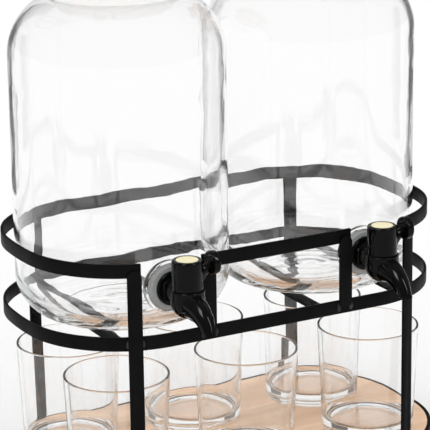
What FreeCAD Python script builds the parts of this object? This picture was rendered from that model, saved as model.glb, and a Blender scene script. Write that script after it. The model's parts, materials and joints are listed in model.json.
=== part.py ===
# Twin-jar drink dispenser: two glass jars with turning taps in an oval flat-bar stand,
# over an oval wooden base that carries six glass tumblers.
#
# Frame: X runs along the long side, -Y is the front where the taps are, +Z is up.
# The origin is the centre of the base's underside. Everything is in millimetres.

import FreeCAD, Part
import math
import os
import Sketcher

os.makedirs("parts", exist_ok=True)
doc = FreeCAD.newDocument("Dispenser")
Vector = FreeCAD.Vector
Rotation = FreeCAD.Rotation
Placement = FreeCAD.Placement


# Driving dimensions

SIZES = {
    # the oval that the hoops follow, measured on its outer face
    "half_length": 159.0,
    "half_width": 87.5,
    "corner_radius": 75.0,
    "end_radius": 235.0,
    # flat bar that the stand is welded from
    "bar_width": 10.0,
    "bar_thick": 2.0,
    "lower_hoop_top": 133.5,
    "upper_hoop_top": 185.5,
    "post_top": 181.2,
    "post_angle": 70.0,
    "upright_at": 54.5,
    "strap_offset": 35.0,
    "bead_radius": 1.6,
    "bead_length": 7.0,
    # base
    "wood_top": 12.0,
    "rim_top": 11.8,
    "rim_thick": 2.5,
    "rim_clear": 2.3,
    "wood_gap": 0.2,
    "wood_round": 0.8,
    "notch_clear": 0.3,
    "notch_depth": 5.0,
    "screw_radius": 1.5,
    "screw_clear": 0.05,
    "screw_length": 12.0,
    "screw_point": 2.0,
    "screw_head_radius": 3.0,
    "screw_head_height": 1.8,
    "screw_level": 6.0,
    # jar
    "jar_at": 77.5,
    "jar_radius": 76.2,
    "jar_wall": 3.5,
    "jar_floor": 6.0,
    "jar_bottom": 125.5,
    "heel_radius": 30.0,
    "shoulder_level": 313.0,
    "shoulder_radius": 43.0,
    "neck_radius": 47.0,
    "neck_height": 20.0,
    "rim_bead": 2.2,
    # tap seat on the jar
    "tap_level": 162.0,
    "seat_face": 74.0,
    "seat_radius": 18.6,
    "seat_thick": 4.5,
    "seat_hole": 8.25,
    "spot_depth": 6.0,
    # tap
    "barrel_axis": 100.0,
    "barrel_radius": 11.9,
    "barrel_shoulder": 5.5,
    "collar_radius": 8.9,
    "barrel_top": 10.8,
    "dome_level": -4.0,
    "dome_depth": 11.0,
    "bore_radius": 6.05,
    "bore_floor": -9.0,
    "stem_radius": 8.0,
    "stem_bore": 4.0,
    "stem_end": 42.0,
    "stem_chamfer": 1.0,
    "flange_radius": 12.2,
    "flange_thick": 3.0,
    "flange_chamfer": 1.2,
    "hex_radius": 10.6,
    "hex_thick": 3.4,
    "neck_outer": 8.6,
    "spout_level": -4.2,
    "spout_bend": 25.0,
    "spout_reach": 8.0,
    "spout_end": -18.0,
    "spout_root": 9.6,
    "spout_tip": 4.9,
    "spout_wall": 1.9,
    "gasket_thick": 3.0,
    "gasket_radius": 17.0,
    "inner_gasket_thick": 2.5,
    "inner_gasket_radius": 14.5,
    "nut_thick": 6.0,
    "nut_radius": 13.6,
    "thread_clear": 0.1,
    # turning head
    "head_radius": 10.7,
    "head_bottom": 5.7,
    "head_top": 26.5,
    "head_round": 1.6,
    "skirt_radius": 9.1,
    "skirt_top": 11.0,
    "plug_radius": 6.0,
    "plug_bottom": -8.6,
    "port_radius": 3.2,
    "ring_level": 6.5,
    "ring_wire": 0.9,
    "ring_clear": 0.03,
    "groove_half": 1.1,
    "groove_clear": 0.05,
    "disc_radius": 7.7,
    "disc_thick": 0.8,
    "disc_clear": 0.15,
    "arm_root": 5.0,
    "arm_level": 13.0,
    "arm_slope": 27.0,
    "arm_foot": 6.0,
    "arm_foot_length": 5.0,
    "arm_radius": 3.7,
    "arm_length": 15.5,
    "knob_level": 21.4,
    "knob_back": 16.8,
    "knob_radius": 8.2,
    "knob_thick": 5.4,
    "knob_round": 1.4,
    "knob_edge": 1.0,
    # lid
    "lid_radius": 52.0,
    "lid_thick": 11.0,
    "lid_round": 2.5,
    "lid_edge": 1.0,
    "spigot_radius": 41.0,
    "spigot_depth": 9.0,
    "seal_outer": 43.2,
    "seal_inner": 39.0,
    "seal_low": 3.0,
    "seal_high": 6.0,
    "seal_edge": 1.0,
    "lid_knob_radius": 13.0,
    "lid_knob_height": 20.0,
    "lid_knob_foot": 9.0,
    "lid_knob_step": 1.5,
    "lid_knob_waist": 6.5,
    "waist_low": 5.0,
    "waist_high": 8.0,
    "crown_low": 13.0,
    "crown_round": 3.0,
    "lid_knob_bore": 12.0,
    "lid_screw_radius": 2.0,
    "lid_screw_clear": 0.1,
    "lid_screw_fit": 0.02,
    "lid_screw_head": 4.0,
    "lid_screw_thick": 2.4,
    "lid_screw_edge": 0.8,
    "lid_screw_sink": 4.0,
    "lid_screw_gap": 1.0,
    # tumblers
    "glass_at_x": 103.7,
    "glass_at_y": 40.2,
    "glass_height": 81.2,
    "glass_top_radius": 37.5,
    "glass_foot_radius": 34.0,
    "glass_wall": 1.8,
    "glass_floor": 8.5,
    "glass_round": 3.0,
    "glass_lip": 0.5,
    "glass_foot_edge": 1.5,
}

sheet = doc.addObject("Spreadsheet::Sheet", "Sizes")
for row, (name, value) in enumerate(SIZES.items(), start=1):
    sheet.set(f"A{row}", name)
    sheet.set(f"B{row}", str(value))
    sheet.setAlias(f"B{row}", name)
doc.recompute()


class Size:
    """A length or an angle with the sheet formula that gives it."""

    def __init__(self, value, formula):
        self.value = float(value)
        self.formula = formula

    def join(self, other, sign, value):
        return Size(value, f"({self.formula} {sign} {other.formula})")

    def __add__(self, other):
        other = size_of(other)
        return self.join(other, "+", self.value + other.value)

    def __sub__(self, other):
        other = size_of(other)
        return self.join(other, "-", self.value - other.value)

    def __mul__(self, other):
        other = size_of(other)
        return self.join(other, "*", self.value * other.value)

    def __truediv__(self, other):
        other = size_of(other)
        return self.join(other, "/", self.value / other.value)

    def __neg__(self):
        return Size(-self.value, f"(0 - {self.formula})")


def size_of(number):
    return number if isinstance(number, Size) else Size(number, repr(float(number)))


def root(size):
    return Size(math.sqrt(size.value), f"sqrt({size.formula})")


def sine(angle):
    return Size(math.sin(math.radians(angle.value)), f"sin({angle.formula} * 1 deg)")


def cosine(angle):
    return Size(math.cos(math.radians(angle.value)), f"cos({angle.formula} * 1 deg)")


def cell(name):
    return Size(sheet.get(name), f"Sizes.{name}")


ZERO = size_of(0)
# how far a cutting shape runs past the face that it leaves through
OVER = size_of(1)
BAR = cell("bar_width")
THICK = cell("bar_thick")


# Helpers for bodies, sketches and features

def new_body(name):
    body = doc.addObject("PartDesign::Body", name)
    body.Label = name
    return body


def new_sketch(body, name, role, level=None):
    """A sketch on one of the body's own origin planes, moved along the plane's normal by level."""
    sketch = body.newObject("Sketcher::SketchObject", name)
    plane = next(p for p in body.Origin.OriginFeatures if p.Role == role)
    sketch.AttachmentSupport = [(plane, "")]
    sketch.MapMode = "FlatFace"
    if level is not None:
        sketch.AttachmentOffset = Placement(Vector(0, 0, level.value), Rotation())
        sketch.setExpression(".AttachmentOffset.Base.z", level.formula)
    return sketch


def bind(sketch, kind, place, size):
    """A distance or radius of a sketch, tied to its formula."""
    index = sketch.addConstraint(Sketcher.Constraint(kind, *place, size.value))
    sketch.setExpression(f"Constraints[{index}]", size.formula)


def pin_along(sketch, edge, end, kind, size):
    """Fix one point of an edge at its distance from the sketch's origin along one axis."""
    if abs(size.value) < 1e-9:
        axis = -2 if kind == "DistanceX" else -1
        sketch.addConstraint(Sketcher.Constraint("PointOnObject", edge, end, axis))
    elif size.value > 0:
        bind(sketch, kind, (-1, 1, edge, end), size)
    else:
        bind(sketch, kind, (edge, end, -1, 1), -size)


def pin_point(sketch, edge, end, spot):
    pin_along(sketch, edge, end, "DistanceX", spot[0])
    pin_along(sketch, edge, end, "DistanceY", spot[1])


def draw_outline(sketch, corners):
    """A closed outline through corners. A corner is (x, y), or (x, y, centre, turn) when an arc
    about that centre leads to the next corner, with turn 1 for counter-clockwise and -1 for
    clockwise."""
    spots = [(size_of(c[0]), size_of(c[1])) for c in corners]
    ends = []
    for index, corner in enumerate(corners):
        here = spots[index]
        there = spots[(index + 1) % len(spots)]
        start = Vector(here[0].value, here[1].value, 0)
        stop = Vector(there[0].value, there[1].value, 0)
        if len(corner) == 2:
            edge = sketch.addGeometry(Part.LineSegment(start, stop), False)
            ends.append((edge, 1, 2))
            continue
        middle = Vector(size_of(corner[2][0]).value, size_of(corner[2][1]).value, 0)
        radius = (start - middle).Length
        angles = [math.atan2(p.y - middle.y, p.x - middle.x) for p in (start, stop)]
        if corner[3] < 0:
            angles.reverse()
        circle = Part.Circle(middle, Vector(0, 0, 1), radius)
        edge = sketch.addGeometry(Part.ArcOfCircle(circle, *angles), False)
        ends.append((edge, 1, 2) if corner[3] > 0 else (edge, 2, 1))
    for index, (edge, begin, _) in enumerate(ends):
        before, _, finish = ends[index - 1]
        sketch.addConstraint(Sketcher.Constraint("Coincident", before, finish, edge, begin))
    for index, (edge, begin, _) in enumerate(ends):
        pin_point(sketch, edge, begin, spots[index])
        if len(corners[index]) == 4:
            # with both ends fixed, an arc's centre can only move square to its chord
            centre_x, centre_y = (size_of(value) for value in corners[index][2])
            chord_x = abs(spots[index][0].value - spots[(index + 1) % len(spots)][0].value)
            chord_y = abs(spots[index][1].value - spots[(index + 1) % len(spots)][1].value)
            if chord_y > chord_x:
                pin_along(sketch, edge, 3, "DistanceX", centre_x)
            else:
                pin_along(sketch, edge, 3, "DistanceY", centre_y)


def draw_circle(sketch, x, y, radius):
    x, y, radius = size_of(x), size_of(y), size_of(radius)
    circle = Part.Circle(Vector(x.value, y.value, 0), Vector(0, 0, 1), radius.value)
    edge = sketch.addGeometry(circle, False)
    pin_point(sketch, edge, 3, (x, y))
    bind(sketch, "Radius", (edge,), radius)


def add_feature(body, kind, name, sketch):
    feature = body.newObject(f"PartDesign::{kind}", name)
    feature.Profile = sketch
    return feature


def pad(body, name, sketch, length, backwards=False, both_sides=False):
    feature = add_feature(body, "Pad", name, sketch)
    feature.Length = length.value
    feature.setExpression("Length", length.formula)
    feature.Reversed = backwards
    feature.Midplane = both_sides
    doc.recompute()
    return feature


def pocket(body, name, sketch, length, backwards=False, both_sides=False):
    """A cut that has to take material away."""
    doc.recompute()
    before = body.Shape.Volume
    feature = add_feature(body, "Pocket", name, sketch)
    feature.Length = length.value
    feature.setExpression("Length", length.formula)
    feature.Reversed = backwards
    feature.Midplane = both_sides
    doc.recompute()
    if body.Shape.Volume > before - 1e-3:
        raise ValueError(f"{name} cuts nothing")
    return feature


def revolve(body, name, sketch, axis, kind="Revolution"):
    feature = add_feature(body, kind, name, sketch)
    feature.ReferenceAxis = (sketch, [axis])
    feature.Angle = 360
    doc.recompute()
    return feature


def soften(body, name, radius, chosen, kind="Fillet"):
    """Round or chamfer the edges of the body's tip that the test picks."""
    tip = body.Tip
    names = [f"Edge{i}" for i, e in enumerate(tip.Shape.Edges, start=1) if chosen(e)]
    if not names:
        raise ValueError(f"{name} finds no edge")
    feature = body.newObject(f"PartDesign::{kind}", name)
    feature.Base = (tip, names)
    setting = "Radius" if kind == "Fillet" else "Size"
    setattr(feature, setting, radius.value)
    feature.setExpression(setting, radius.formula)
    doc.recompute()
    return feature


def put(item, x=ZERO, y=ZERO, z=ZERO, turn=ZERO):
    """Place a sub-part by formula, turned about the upright axis."""
    x, y, z, turn = size_of(x), size_of(y), size_of(z), size_of(turn)
    spin = Rotation(Vector(0, 0, 1), turn.value)
    item.Placement = Placement(Vector(x.value, y.value, z.value), spin)
    for letter, size in (("x", x), ("y", y), ("z", z)):
        item.setExpression(f".Placement.Base.{letter}", size.formula)
    if turn.value:
        item.setExpression(".Placement.Rotation.Angle", f"({turn.formula}) * 1 deg")
    return item


def level_edge(height):
    """A test for edges that lie flat at one height."""
    def test(edge):
        box = edge.BoundBox
        return abs(box.ZMin - height.value) < 1e-4 and abs(box.ZMax - height.value) < 1e-4
    return test


SUBPARTS = []


def keep(item):
    SUBPARTS.append(item)
    return item


# The oval: straight sides, a small arc at each corner and a large arc across each end

LONG = cell("half_length")
WIDE = cell("half_width")
CORNER = cell("corner_radius")
END = cell("end_radius")
END_CENTRE = LONG - END
CORNER_Y = WIDE - CORNER
CORNER_RUN = root((END - CORNER) * (END - CORNER) - CORNER_Y * CORNER_Y)
CORNER_X = END_CENTRE + CORNER_RUN


def oval_corners(offset):
    """Where the oval's lines and arcs meet, offset outwards from the hoops' outer face."""
    offset = size_of(offset)
    side = WIDE + offset
    reach = (END + offset) / (END - CORNER)
    meet_x = END_CENTRE + CORNER_RUN * reach
    meet_y = CORNER_Y * reach
    right = (END_CENTRE, ZERO)
    left = (-END_CENTRE, ZERO)
    return [
        (-CORNER_X, -side),
        (CORNER_X, -side, (CORNER_X, -CORNER_Y), 1),
        (meet_x, -meet_y, right, 1),
        (meet_x, meet_y, (CORNER_X, CORNER_Y), 1),
        (CORNER_X, side),
        (-CORNER_X, side, (-CORNER_X, CORNER_Y), 1),
        (-meet_x, meet_y, left, 1),
        (-meet_x, -meet_y, (-CORNER_X, -CORNER_Y), 1),
    ]


def oval_band(name, bottom, height, outer, inner):
    """A flat bar bent on edge round the oval."""
    body = new_body(name)
    sketch = new_sketch(body, f"{name}_outline", "XY_Plane", bottom)
    draw_outline(sketch, oval_corners(outer))
    draw_outline(sketch, oval_corners(inner))
    pad(body, f"{name}_bar", sketch, height)
    return body


# Posts stand where the oval's corner arc points along post_angle

POST_ANGLE = cell("post_angle")
POST_SIDES = {
    "front_left": (-1, -1),
    "front_right": (1, -1),
    "back_left": (-1, 1),
    "back_right": (1, 1),
}


def on_corner(side_x, side_y, offset):
    """The spot on a corner arc at post_angle, and the turn that faces a bar outwards there."""
    radius = CORNER + offset
    x = (CORNER_X + radius * cosine(POST_ANGLE)) * side_x
    y = (CORNER_Y + radius * sine(POST_ANGLE)) * side_y
    lean = size_of(90) - POST_ANGLE
    turn = lean * (-side_x * side_y)
    if side_y > 0:
        turn = turn + 180
    return x, y, turn


# Stand: base plate, rim, hoops, posts, uprights, straps

RIM_INNER = cell("rim_clear")
RIM_OUTER = RIM_INNER + cell("rim_thick")
SCREW_HOLE = cell("screw_radius") + cell("screw_clear")


def new_rod(name, radius, length):
    rod = doc.addObject("Part::Cylinder", name)
    rod.Radius = radius.value
    rod.setExpression("Radius", radius.formula)
    rod.Height = length.value
    rod.setExpression("Height", length.formula)
    return rod


def cross_rod(name, radius, length, side_x, side_y, offset):
    """A rod that runs inwards from an offset of the oval, square to a post."""
    rod = new_rod(name, radius, length)
    x, y, turn = on_corner(side_x, side_y, offset)
    rotation = Rotation(Vector(0, 0, 1), turn.value) * Rotation(Vector(1, 0, 0), -90)
    level = cell("screw_level")
    rod.Placement = Placement(Vector(x.value, y.value, level.value), rotation)
    for letter, size in (("x", x), ("y", y), ("z", level)):
        rod.setExpression(f".Placement.Base.{letter}", size.formula)
    return rod


def fuse(name, shapes):
    group = doc.addObject("Part::MultiFuse", name)
    group.Shapes = shapes
    return group


def cut(name, base, tool):
    result = doc.addObject("Part::Cut", name)
    result.Base = base
    result.Tool = tool
    result.Label = name
    return result


screw_holes = fuse("screw_holes", [
    cross_rod(f"{place}_hole", SCREW_HOLE, cell("screw_length") + OVER * 2, *sides, RIM_OUTER + OVER)
    for place, sides in POST_SIDES.items()])

rim_band = oval_band("rim_band", ZERO, cell("rim_top"), RIM_OUTER, RIM_INNER)
keep(cut("base_rim", rim_band, screw_holes))


def post_notch(place, side_x, side_y):
    """The notch that lets the wood drop in beside a post's foot."""
    clear = cell("notch_clear")
    x, y, turn = on_corner(side_x, side_y, ZERO)
    body = new_body(f"{place}_notch")
    sketch = new_sketch(body, f"{place}_notch_outline", "XY_Plane", -OVER)
    half = BAR / 2 + clear
    depth = cell("notch_depth")
    draw_outline(sketch, [(-half, -depth), (half, -depth), (half, clear), (-half, clear)])
    pad(body, f"{place}_notch_height", sketch, cell("wood_top") + OVER * 2)
    return put(body, x, y, ZERO, turn)


wood_blank = new_body("wood_blank")
wood_outline = new_sketch(wood_blank, "wood_outline", "XY_Plane")
draw_outline(wood_outline, oval_corners(RIM_INNER - cell("wood_gap")))
pad(wood_blank, "wood_plate", wood_outline, cell("wood_top"))
soften(wood_blank, "wood_edge", cell("wood_round"), level_edge(cell("wood_top")))
notches = fuse("post_notches", [post_notch(place, *sides) for place, sides in POST_SIDES.items()])
keep(cut("wood_base", cut("notched_wood", wood_blank, notches), screw_holes))


def base_screw(place, side_x, side_y):
    """A round-headed wood screw through the rim and a post's foot into the edge of the wood."""
    body = new_body(f"{place}_screw")
    sketch = new_sketch(body, f"{place}_screw_profile", "YZ_Plane")
    shank = cell("screw_radius")
    length = cell("screw_length")
    head = cell("screw_head_radius")
    rise = cell("screw_head_height")
    dome = (head * head + rise * rise) / (rise * 2)
    draw_outline(sketch, [
        (length, ZERO), (length - cell("screw_point"), shank), (ZERO, shank),
        (ZERO, head, (dome - rise, ZERO), 1), (-rise, ZERO)])
    revolve(body, f"{place}_screw_turned", sketch, "H_Axis")
    x, y, turn = on_corner(side_x, side_y, RIM_OUTER)
    return put(body, x, y, cell("screw_level"), turn)


screws = doc.addObject("Part::Compound", "base_screws")
screws.Links = [base_screw(place, *sides) for place, sides in POST_SIDES.items()]
screws.Label = "base_screws"
keep(screws)


LOWER_BOTTOM = cell("lower_hoop_top") - BAR
UPPER_BOTTOM = cell("upper_hoop_top") - BAR

lower_hoop = keep(oval_band("lower_hoop", LOWER_BOTTOM, BAR, ZERO, -THICK))

# The upper hoop is open along the front, where the bars end flush with the front posts
upper_hoop = keep(oval_band("upper_hoop", UPPER_BOTTOM, BAR, ZERO, -THICK))
front_gap = new_sketch(upper_hoop, "front_gap", "XY_Plane", UPPER_BOTTOM)
post_x = CORNER_X + CORNER * cosine(POST_ANGLE)
gap_half = post_x - BAR / 2 * sine(POST_ANGLE)
draw_outline(front_gap, [
    (-gap_half, -WIDE - OVER), (gap_half, -WIDE - OVER), (gap_half, ZERO), (-gap_half, ZERO)])
pocket(upper_hoop, "front_opening", front_gap, BAR, backwards=True)


def round_bar(name, bottom, top, round_bottom, hole_level=None):
    """An upright flat bar with a rounded top, and a rounded or square foot."""
    body = new_body(name)
    sketch = new_sketch(body, f"{name}_outline", "XZ_Plane")
    half = BAR / 2
    tip = top - half
    if round_bottom:
        foot = bottom + half
        corners = [(-half, foot, (ZERO, foot), 1), (half, foot), (half, tip, (ZERO, tip), 1), (-half, tip)]
    else:
        corners = [(-half, bottom), (half, bottom), (half, tip, (ZERO, tip), 1), (-half, tip)]
    draw_outline(sketch, corners)
    if hole_level is not None:
        draw_circle(sketch, ZERO, hole_level, SCREW_HOLE)
    pad(body, f"{name}_bar", sketch, THICK)
    return body


for place, sides in POST_SIDES.items():
    post = round_bar(f"{place}_post", ZERO, cell("post_top"), False, cell("screw_level"))
    keep(put(post, *on_corner(*sides, ZERO)[:2], ZERO, on_corner(*sides, ZERO)[2]))

UPRIGHT = cell("upright_at")
upright_foot = LOWER_BOTTOM + (cell("upper_hoop_top") - cell("post_top"))
for place, side in (("left", -1), ("right", 1)):
    upright = round_bar(f"{place}_short_upright", upright_foot, cell("post_top"), True)
    keep(put(upright, UPRIGHT * side, -WIDE, ZERO))

top_bar = keep(new_body("top_front_bar"))
top_bar_end = new_sketch(top_bar, "top_bar_outline", "XZ_Plane")
bar_half = UPRIGHT + BAR / 2
draw_outline(top_bar_end, [
    (-bar_half, UPPER_BOTTOM), (bar_half, UPPER_BOTTOM),
    (bar_half, cell("upper_hoop_top")), (-bar_half, cell("upper_hoop_top"))])
pad(top_bar, "top_bar_metal", top_bar_end, THICK)
put(top_bar, ZERO, -WIDE + THICK, ZERO)


def cross_strap(name, centre):
    """A bar laid flat across the lower hoop, cut to the hoop's inner face at both ends."""
    blank = new_body(f"{name}_blank")
    sketch = new_sketch(blank, f"{name}_outline", "XY_Plane", LOWER_BOTTOM)
    left, right = centre - BAR / 2, centre + BAR / 2
    draw_outline(sketch, [(left, -WIDE), (right, -WIDE), (right, WIDE), (left, WIDE)])
    pad(blank, f"{name}_bar", sketch, THICK)
    inside = new_body(f"{name}_inside")
    oval = new_sketch(inside, f"{name}_oval", "XY_Plane", LOWER_BOTTOM - OVER)
    draw_outline(oval, oval_corners(-THICK))
    pad(inside, f"{name}_room", oval, THICK + OVER * 2)
    strap = doc.addObject("Part::Common", name)
    strap.Base = blank
    strap.Tool = inside
    strap.Label = name
    return strap


JAR_X = cell("jar_at")
STRAP = cell("strap_offset")
keep(cross_strap("left_outer_strap", -JAR_X - STRAP))
keep(cross_strap("left_inner_strap", -JAR_X + STRAP))
keep(cross_strap("right_inner_strap", JAR_X - STRAP))
keep(cross_strap("right_outer_strap", JAR_X + STRAP))


# Weld beads at the lower hoop, in the corners between each upright bar and the hoop behind it

def bead_rod(name, x, y, turn, side):
    """A short round rod along one edge of an upright, where it crosses the lower hoop."""
    length = cell("bead_length")
    shift = BAR / 2 * side
    level = LOWER_BOTTOM + (BAR - length) / 2
    rod = new_rod(name, cell("bead_radius"), length)
    return put(rod, x + shift * cosine(turn), y + shift * sine(turn), level)


rods = []
crossings = [(place, *on_corner(*sides, ZERO)) for place, sides in POST_SIDES.items()]
crossings += [("left_short", -UPRIGHT, -WIDE, ZERO), ("right_short", UPRIGHT, -WIDE, ZERO)]
for place, x, y, turn in crossings:
    for edge_name, side in (("first", -1), ("second", 1)):
        rods.append(bead_rod(f"{place}_{edge_name}_bead", x, y, turn, side))
# only the corner outside both bars stays
frame_bars = [item for item in SUBPARTS if item.Name.endswith(("hoop", "post", "upright"))]
keep(cut("weld_beads", fuse("bead_rods", rods), fuse("bead_neighbours", frame_bars)))


# Jar

def jar_profile(sketch):
    """Half section of the jar: heel, wall, shoulder, neck with a beaded rim, and the same inside."""
    outer = cell("jar_radius")
    wall = cell("jar_wall")
    bottom = cell("jar_bottom")
    heel = cell("heel_radius")
    shoulder = cell("shoulder_radius")
    level = cell("shoulder_level")
    neck = cell("neck_radius")
    bead = cell("rim_bead")
    floor = bottom + cell("jar_floor")
    inner = outer - wall
    heel_in = heel - wall
    arc_x = outer - shoulder
    arc_in = shoulder - wall
    rise_out = root(shoulder * shoulder - (neck - arc_x) * (neck - arc_x))
    bore = neck - wall
    rise_in = root(arc_in * arc_in - (bore - arc_x) * (bore - arc_x))
    top = level + rise_out + cell("neck_height")
    foot = bottom + heel
    inner_foot = floor + heel_in
    draw_outline(sketch, [
        (ZERO, bottom),
        (outer - heel, bottom, (outer - heel, foot), 1),
        (outer, foot),
        (outer, level, (arc_x, level), 1),
        (neck, level + rise_out),
        (neck, top - bead * 2, (neck, top - bead), 1),
        (neck, top),
        (bore, top),
        (bore, level + rise_in, (arc_x, level), -1),
        (inner, level),
        (inner, inner_foot, (inner - heel_in, inner_foot), -1),
        (inner - heel_in, floor),
        (ZERO, floor),
    ])
    return top


def make_jar(side):
    body = new_body(f"{side}_jar")
    profile = new_sketch(body, f"{side}_jar_profile", "XZ_Plane")
    top = jar_profile(profile)
    revolve(body, f"{side}_jar_blown", profile, "V_Axis")
    face = cell("seat_face")
    back = face - cell("seat_thick")
    level = cell("tap_level")
    pad_sketch = new_sketch(body, f"{side}_seat_pad", "XZ_Plane", back)
    draw_circle(pad_sketch, ZERO, level, cell("seat_radius"))
    pad(body, f"{side}_seat", pad_sketch, cell("seat_thick"))
    spot = new_sketch(body, f"{side}_seat_spot", "XZ_Plane", face)
    draw_circle(spot, ZERO, level, cell("seat_radius"))
    pocket(body, f"{side}_seat_flat", spot, cell("spot_depth"), backwards=True)
    hole = new_sketch(body, f"{side}_seat_bore", "XZ_Plane", face + OVER)
    draw_circle(hole, ZERO, level, cell("seat_hole"))
    pocket(body, f"{side}_seat_hole", hole, cell("seat_thick") + OVER * 2)
    return body, top


# Tap

def make_tap_body(side):
    """Fixed part of the tap: threaded stem, flange, neck, valve barrel and curved spout.
    Its origin is on the barrel's axis at the height of the stem."""
    body = new_body(f"{side}_tap_body")
    flange_back = cell("barrel_axis") - cell("seat_face") - cell("gasket_thick")
    flange_front = flange_back - cell("flange_thick")
    stem_end, stem_edge = cell("stem_end"), cell("stem_chamfer")
    stem_radius = cell("stem_radius")
    flange, flange_edge = cell("flange_radius"), cell("flange_chamfer")
    stem = new_sketch(body, f"{side}_stem_profile", "YZ_Plane")
    draw_outline(stem, [
        (ZERO, ZERO), (stem_end, ZERO), (stem_end, stem_radius - stem_edge),
        (stem_end - stem_edge, stem_radius), (flange_back, stem_radius), (flange_back, flange),
        (flange_front + flange_edge, flange), (flange_front, flange - flange_edge),
        (flange_front, cell("neck_outer")), (ZERO, cell("neck_outer"))])
    revolve(body, f"{side}_stem", stem, "H_Axis")
    spanner = new_sketch(body, f"{side}_hexagon", "XZ_Plane", -flange_front)
    corner = cell("hex_radius")
    across = corner * cosine(size_of(30))
    draw_outline(spanner, [
        (ZERO, corner), (-across, corner / 2), (-across, -corner / 2),
        (ZERO, -corner), (across, -corner / 2), (across, corner / 2)])
    pad(body, f"{side}_spanner_faces", spanner, cell("hex_thick"))

    barrel = new_sketch(body, f"{side}_barrel_profile", "XZ_Plane")
    radius = cell("barrel_radius")
    dome = cell("dome_level")
    depth = cell("dome_depth")
    dome_radius = (radius * radius + depth * depth) / (depth * 2)
    draw_outline(barrel, [
        (ZERO, dome - depth, (ZERO, dome - depth + dome_radius), 1), (radius, dome),
        (radius, cell("barrel_shoulder")), (cell("collar_radius"), cell("barrel_shoulder")),
        (cell("collar_radius"), cell("barrel_top")), (ZERO, cell("barrel_top"))])
    revolve(body, f"{side}_barrel", barrel, "V_Axis")

    add_spout(body, side, "AdditiveLoft", "spout", SPOUT_START, ZERO)
    room = new_sketch(body, f"{side}_head_room", "XY_Plane", cell("barrel_top"))
    draw_circle(room, ZERO, ZERO, radius)
    draw_circle(room, ZERO, ZERO, cell("collar_radius"))
    pocket(body, f"{side}_neck_cut", room, cell("barrel_top") - cell("barrel_shoulder"))
    bore = new_sketch(body, f"{side}_bore", "XY_Plane", cell("barrel_top"))
    draw_circle(bore, ZERO, ZERO, cell("bore_radius"))
    pocket(body, f"{side}_valve_bore", bore, cell("barrel_top") - cell("bore_floor"))
    add_spout(body, side, "SubtractiveLoft", "spout_bore", SPOUT_BORE_START, cell("spout_wall"))
    mouth = new_sketch(body, f"{side}_spout_mouth", "XY_Plane", cell("spout_end"))
    draw_circle(mouth, ZERO, -cell("spout_reach") - cell("spout_bend"), cell("spout_bend"))
    pocket(body, f"{side}_spout_cut", mouth, cell("spout_bend"))
    channel = new_sketch(body, f"{side}_channel", "XZ_Plane", -stem_end - OVER)
    draw_circle(channel, ZERO, ZERO, cell("stem_bore"))
    pocket(body, f"{side}_stem_bore", channel, stem_end - cell("bore_radius") + OVER * 3,
           backwards=True)
    return body


# The spout's first section lies inside the barrel, and its bore starts in the valve bore
SPOUT_START = size_of(-1)
SPOUT_BORE_START = size_of(-4)
SPOUT_TURNS = (0, 20, 40, 60)
LAST_TURN = SPOUT_TURNS[-1]
# the part of the taper that is done where the bend begins
EARLY_TAPER = 0.12


def spout_station(turn):
    """Centre of the spout's section where its path has bent down by turn degrees."""
    bend = cell("spout_bend")
    angle = size_of(turn)
    y = -cell("spout_reach") - bend * sine(angle)
    z = cell("spout_level") - bend * (size_of(1) - cosine(angle))
    return y, z


def add_spout(body, side, kind, name, start, wall):
    """The spout runs forward, bends down and tapers, and ends with a short straight length.
    A bore of the same path is one wall smaller."""
    root_radius = cell("spout_root")
    tip_radius = cell("spout_tip")
    stations = [(start, cell("spout_level"), 0, root_radius - wall)]
    for turn in SPOUT_TURNS:
        y, z = spout_station(turn)
        taper = (root_radius - tip_radius) * (EARLY_TAPER + (1 - EARLY_TAPER) * turn / LAST_TURN)
        stations.append((y, z, turn, root_radius - taper - wall))
    tip = tip_radius * 2
    slope = size_of(LAST_TURN)
    stations.append((y - tip * cosine(slope), z - tip * sine(slope), LAST_TURN, tip_radius - wall))
    sections = []
    for index, (y, z, turn, radius) in enumerate(stations):
        section = new_sketch(body, f"{side}_{name}_{index}", "XZ_Plane")
        tilt = Rotation(Vector(1, 0, 0), turn)
        section.AttachmentOffset = Placement(Vector(0, z.value, -y.value), tilt)
        section.setExpression(".AttachmentOffset.Base.y", z.formula)
        section.setExpression(".AttachmentOffset.Base.z", (-y).formula)
        draw_circle(section, ZERO, ZERO, radius)
        sections.append(section)
    loft = body.newObject(f"PartDesign::{kind}", f"{side}_{name}")
    loft.Profile = sections[0]
    loft.Sections = sections[1:]
    doc.recompute()


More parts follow.
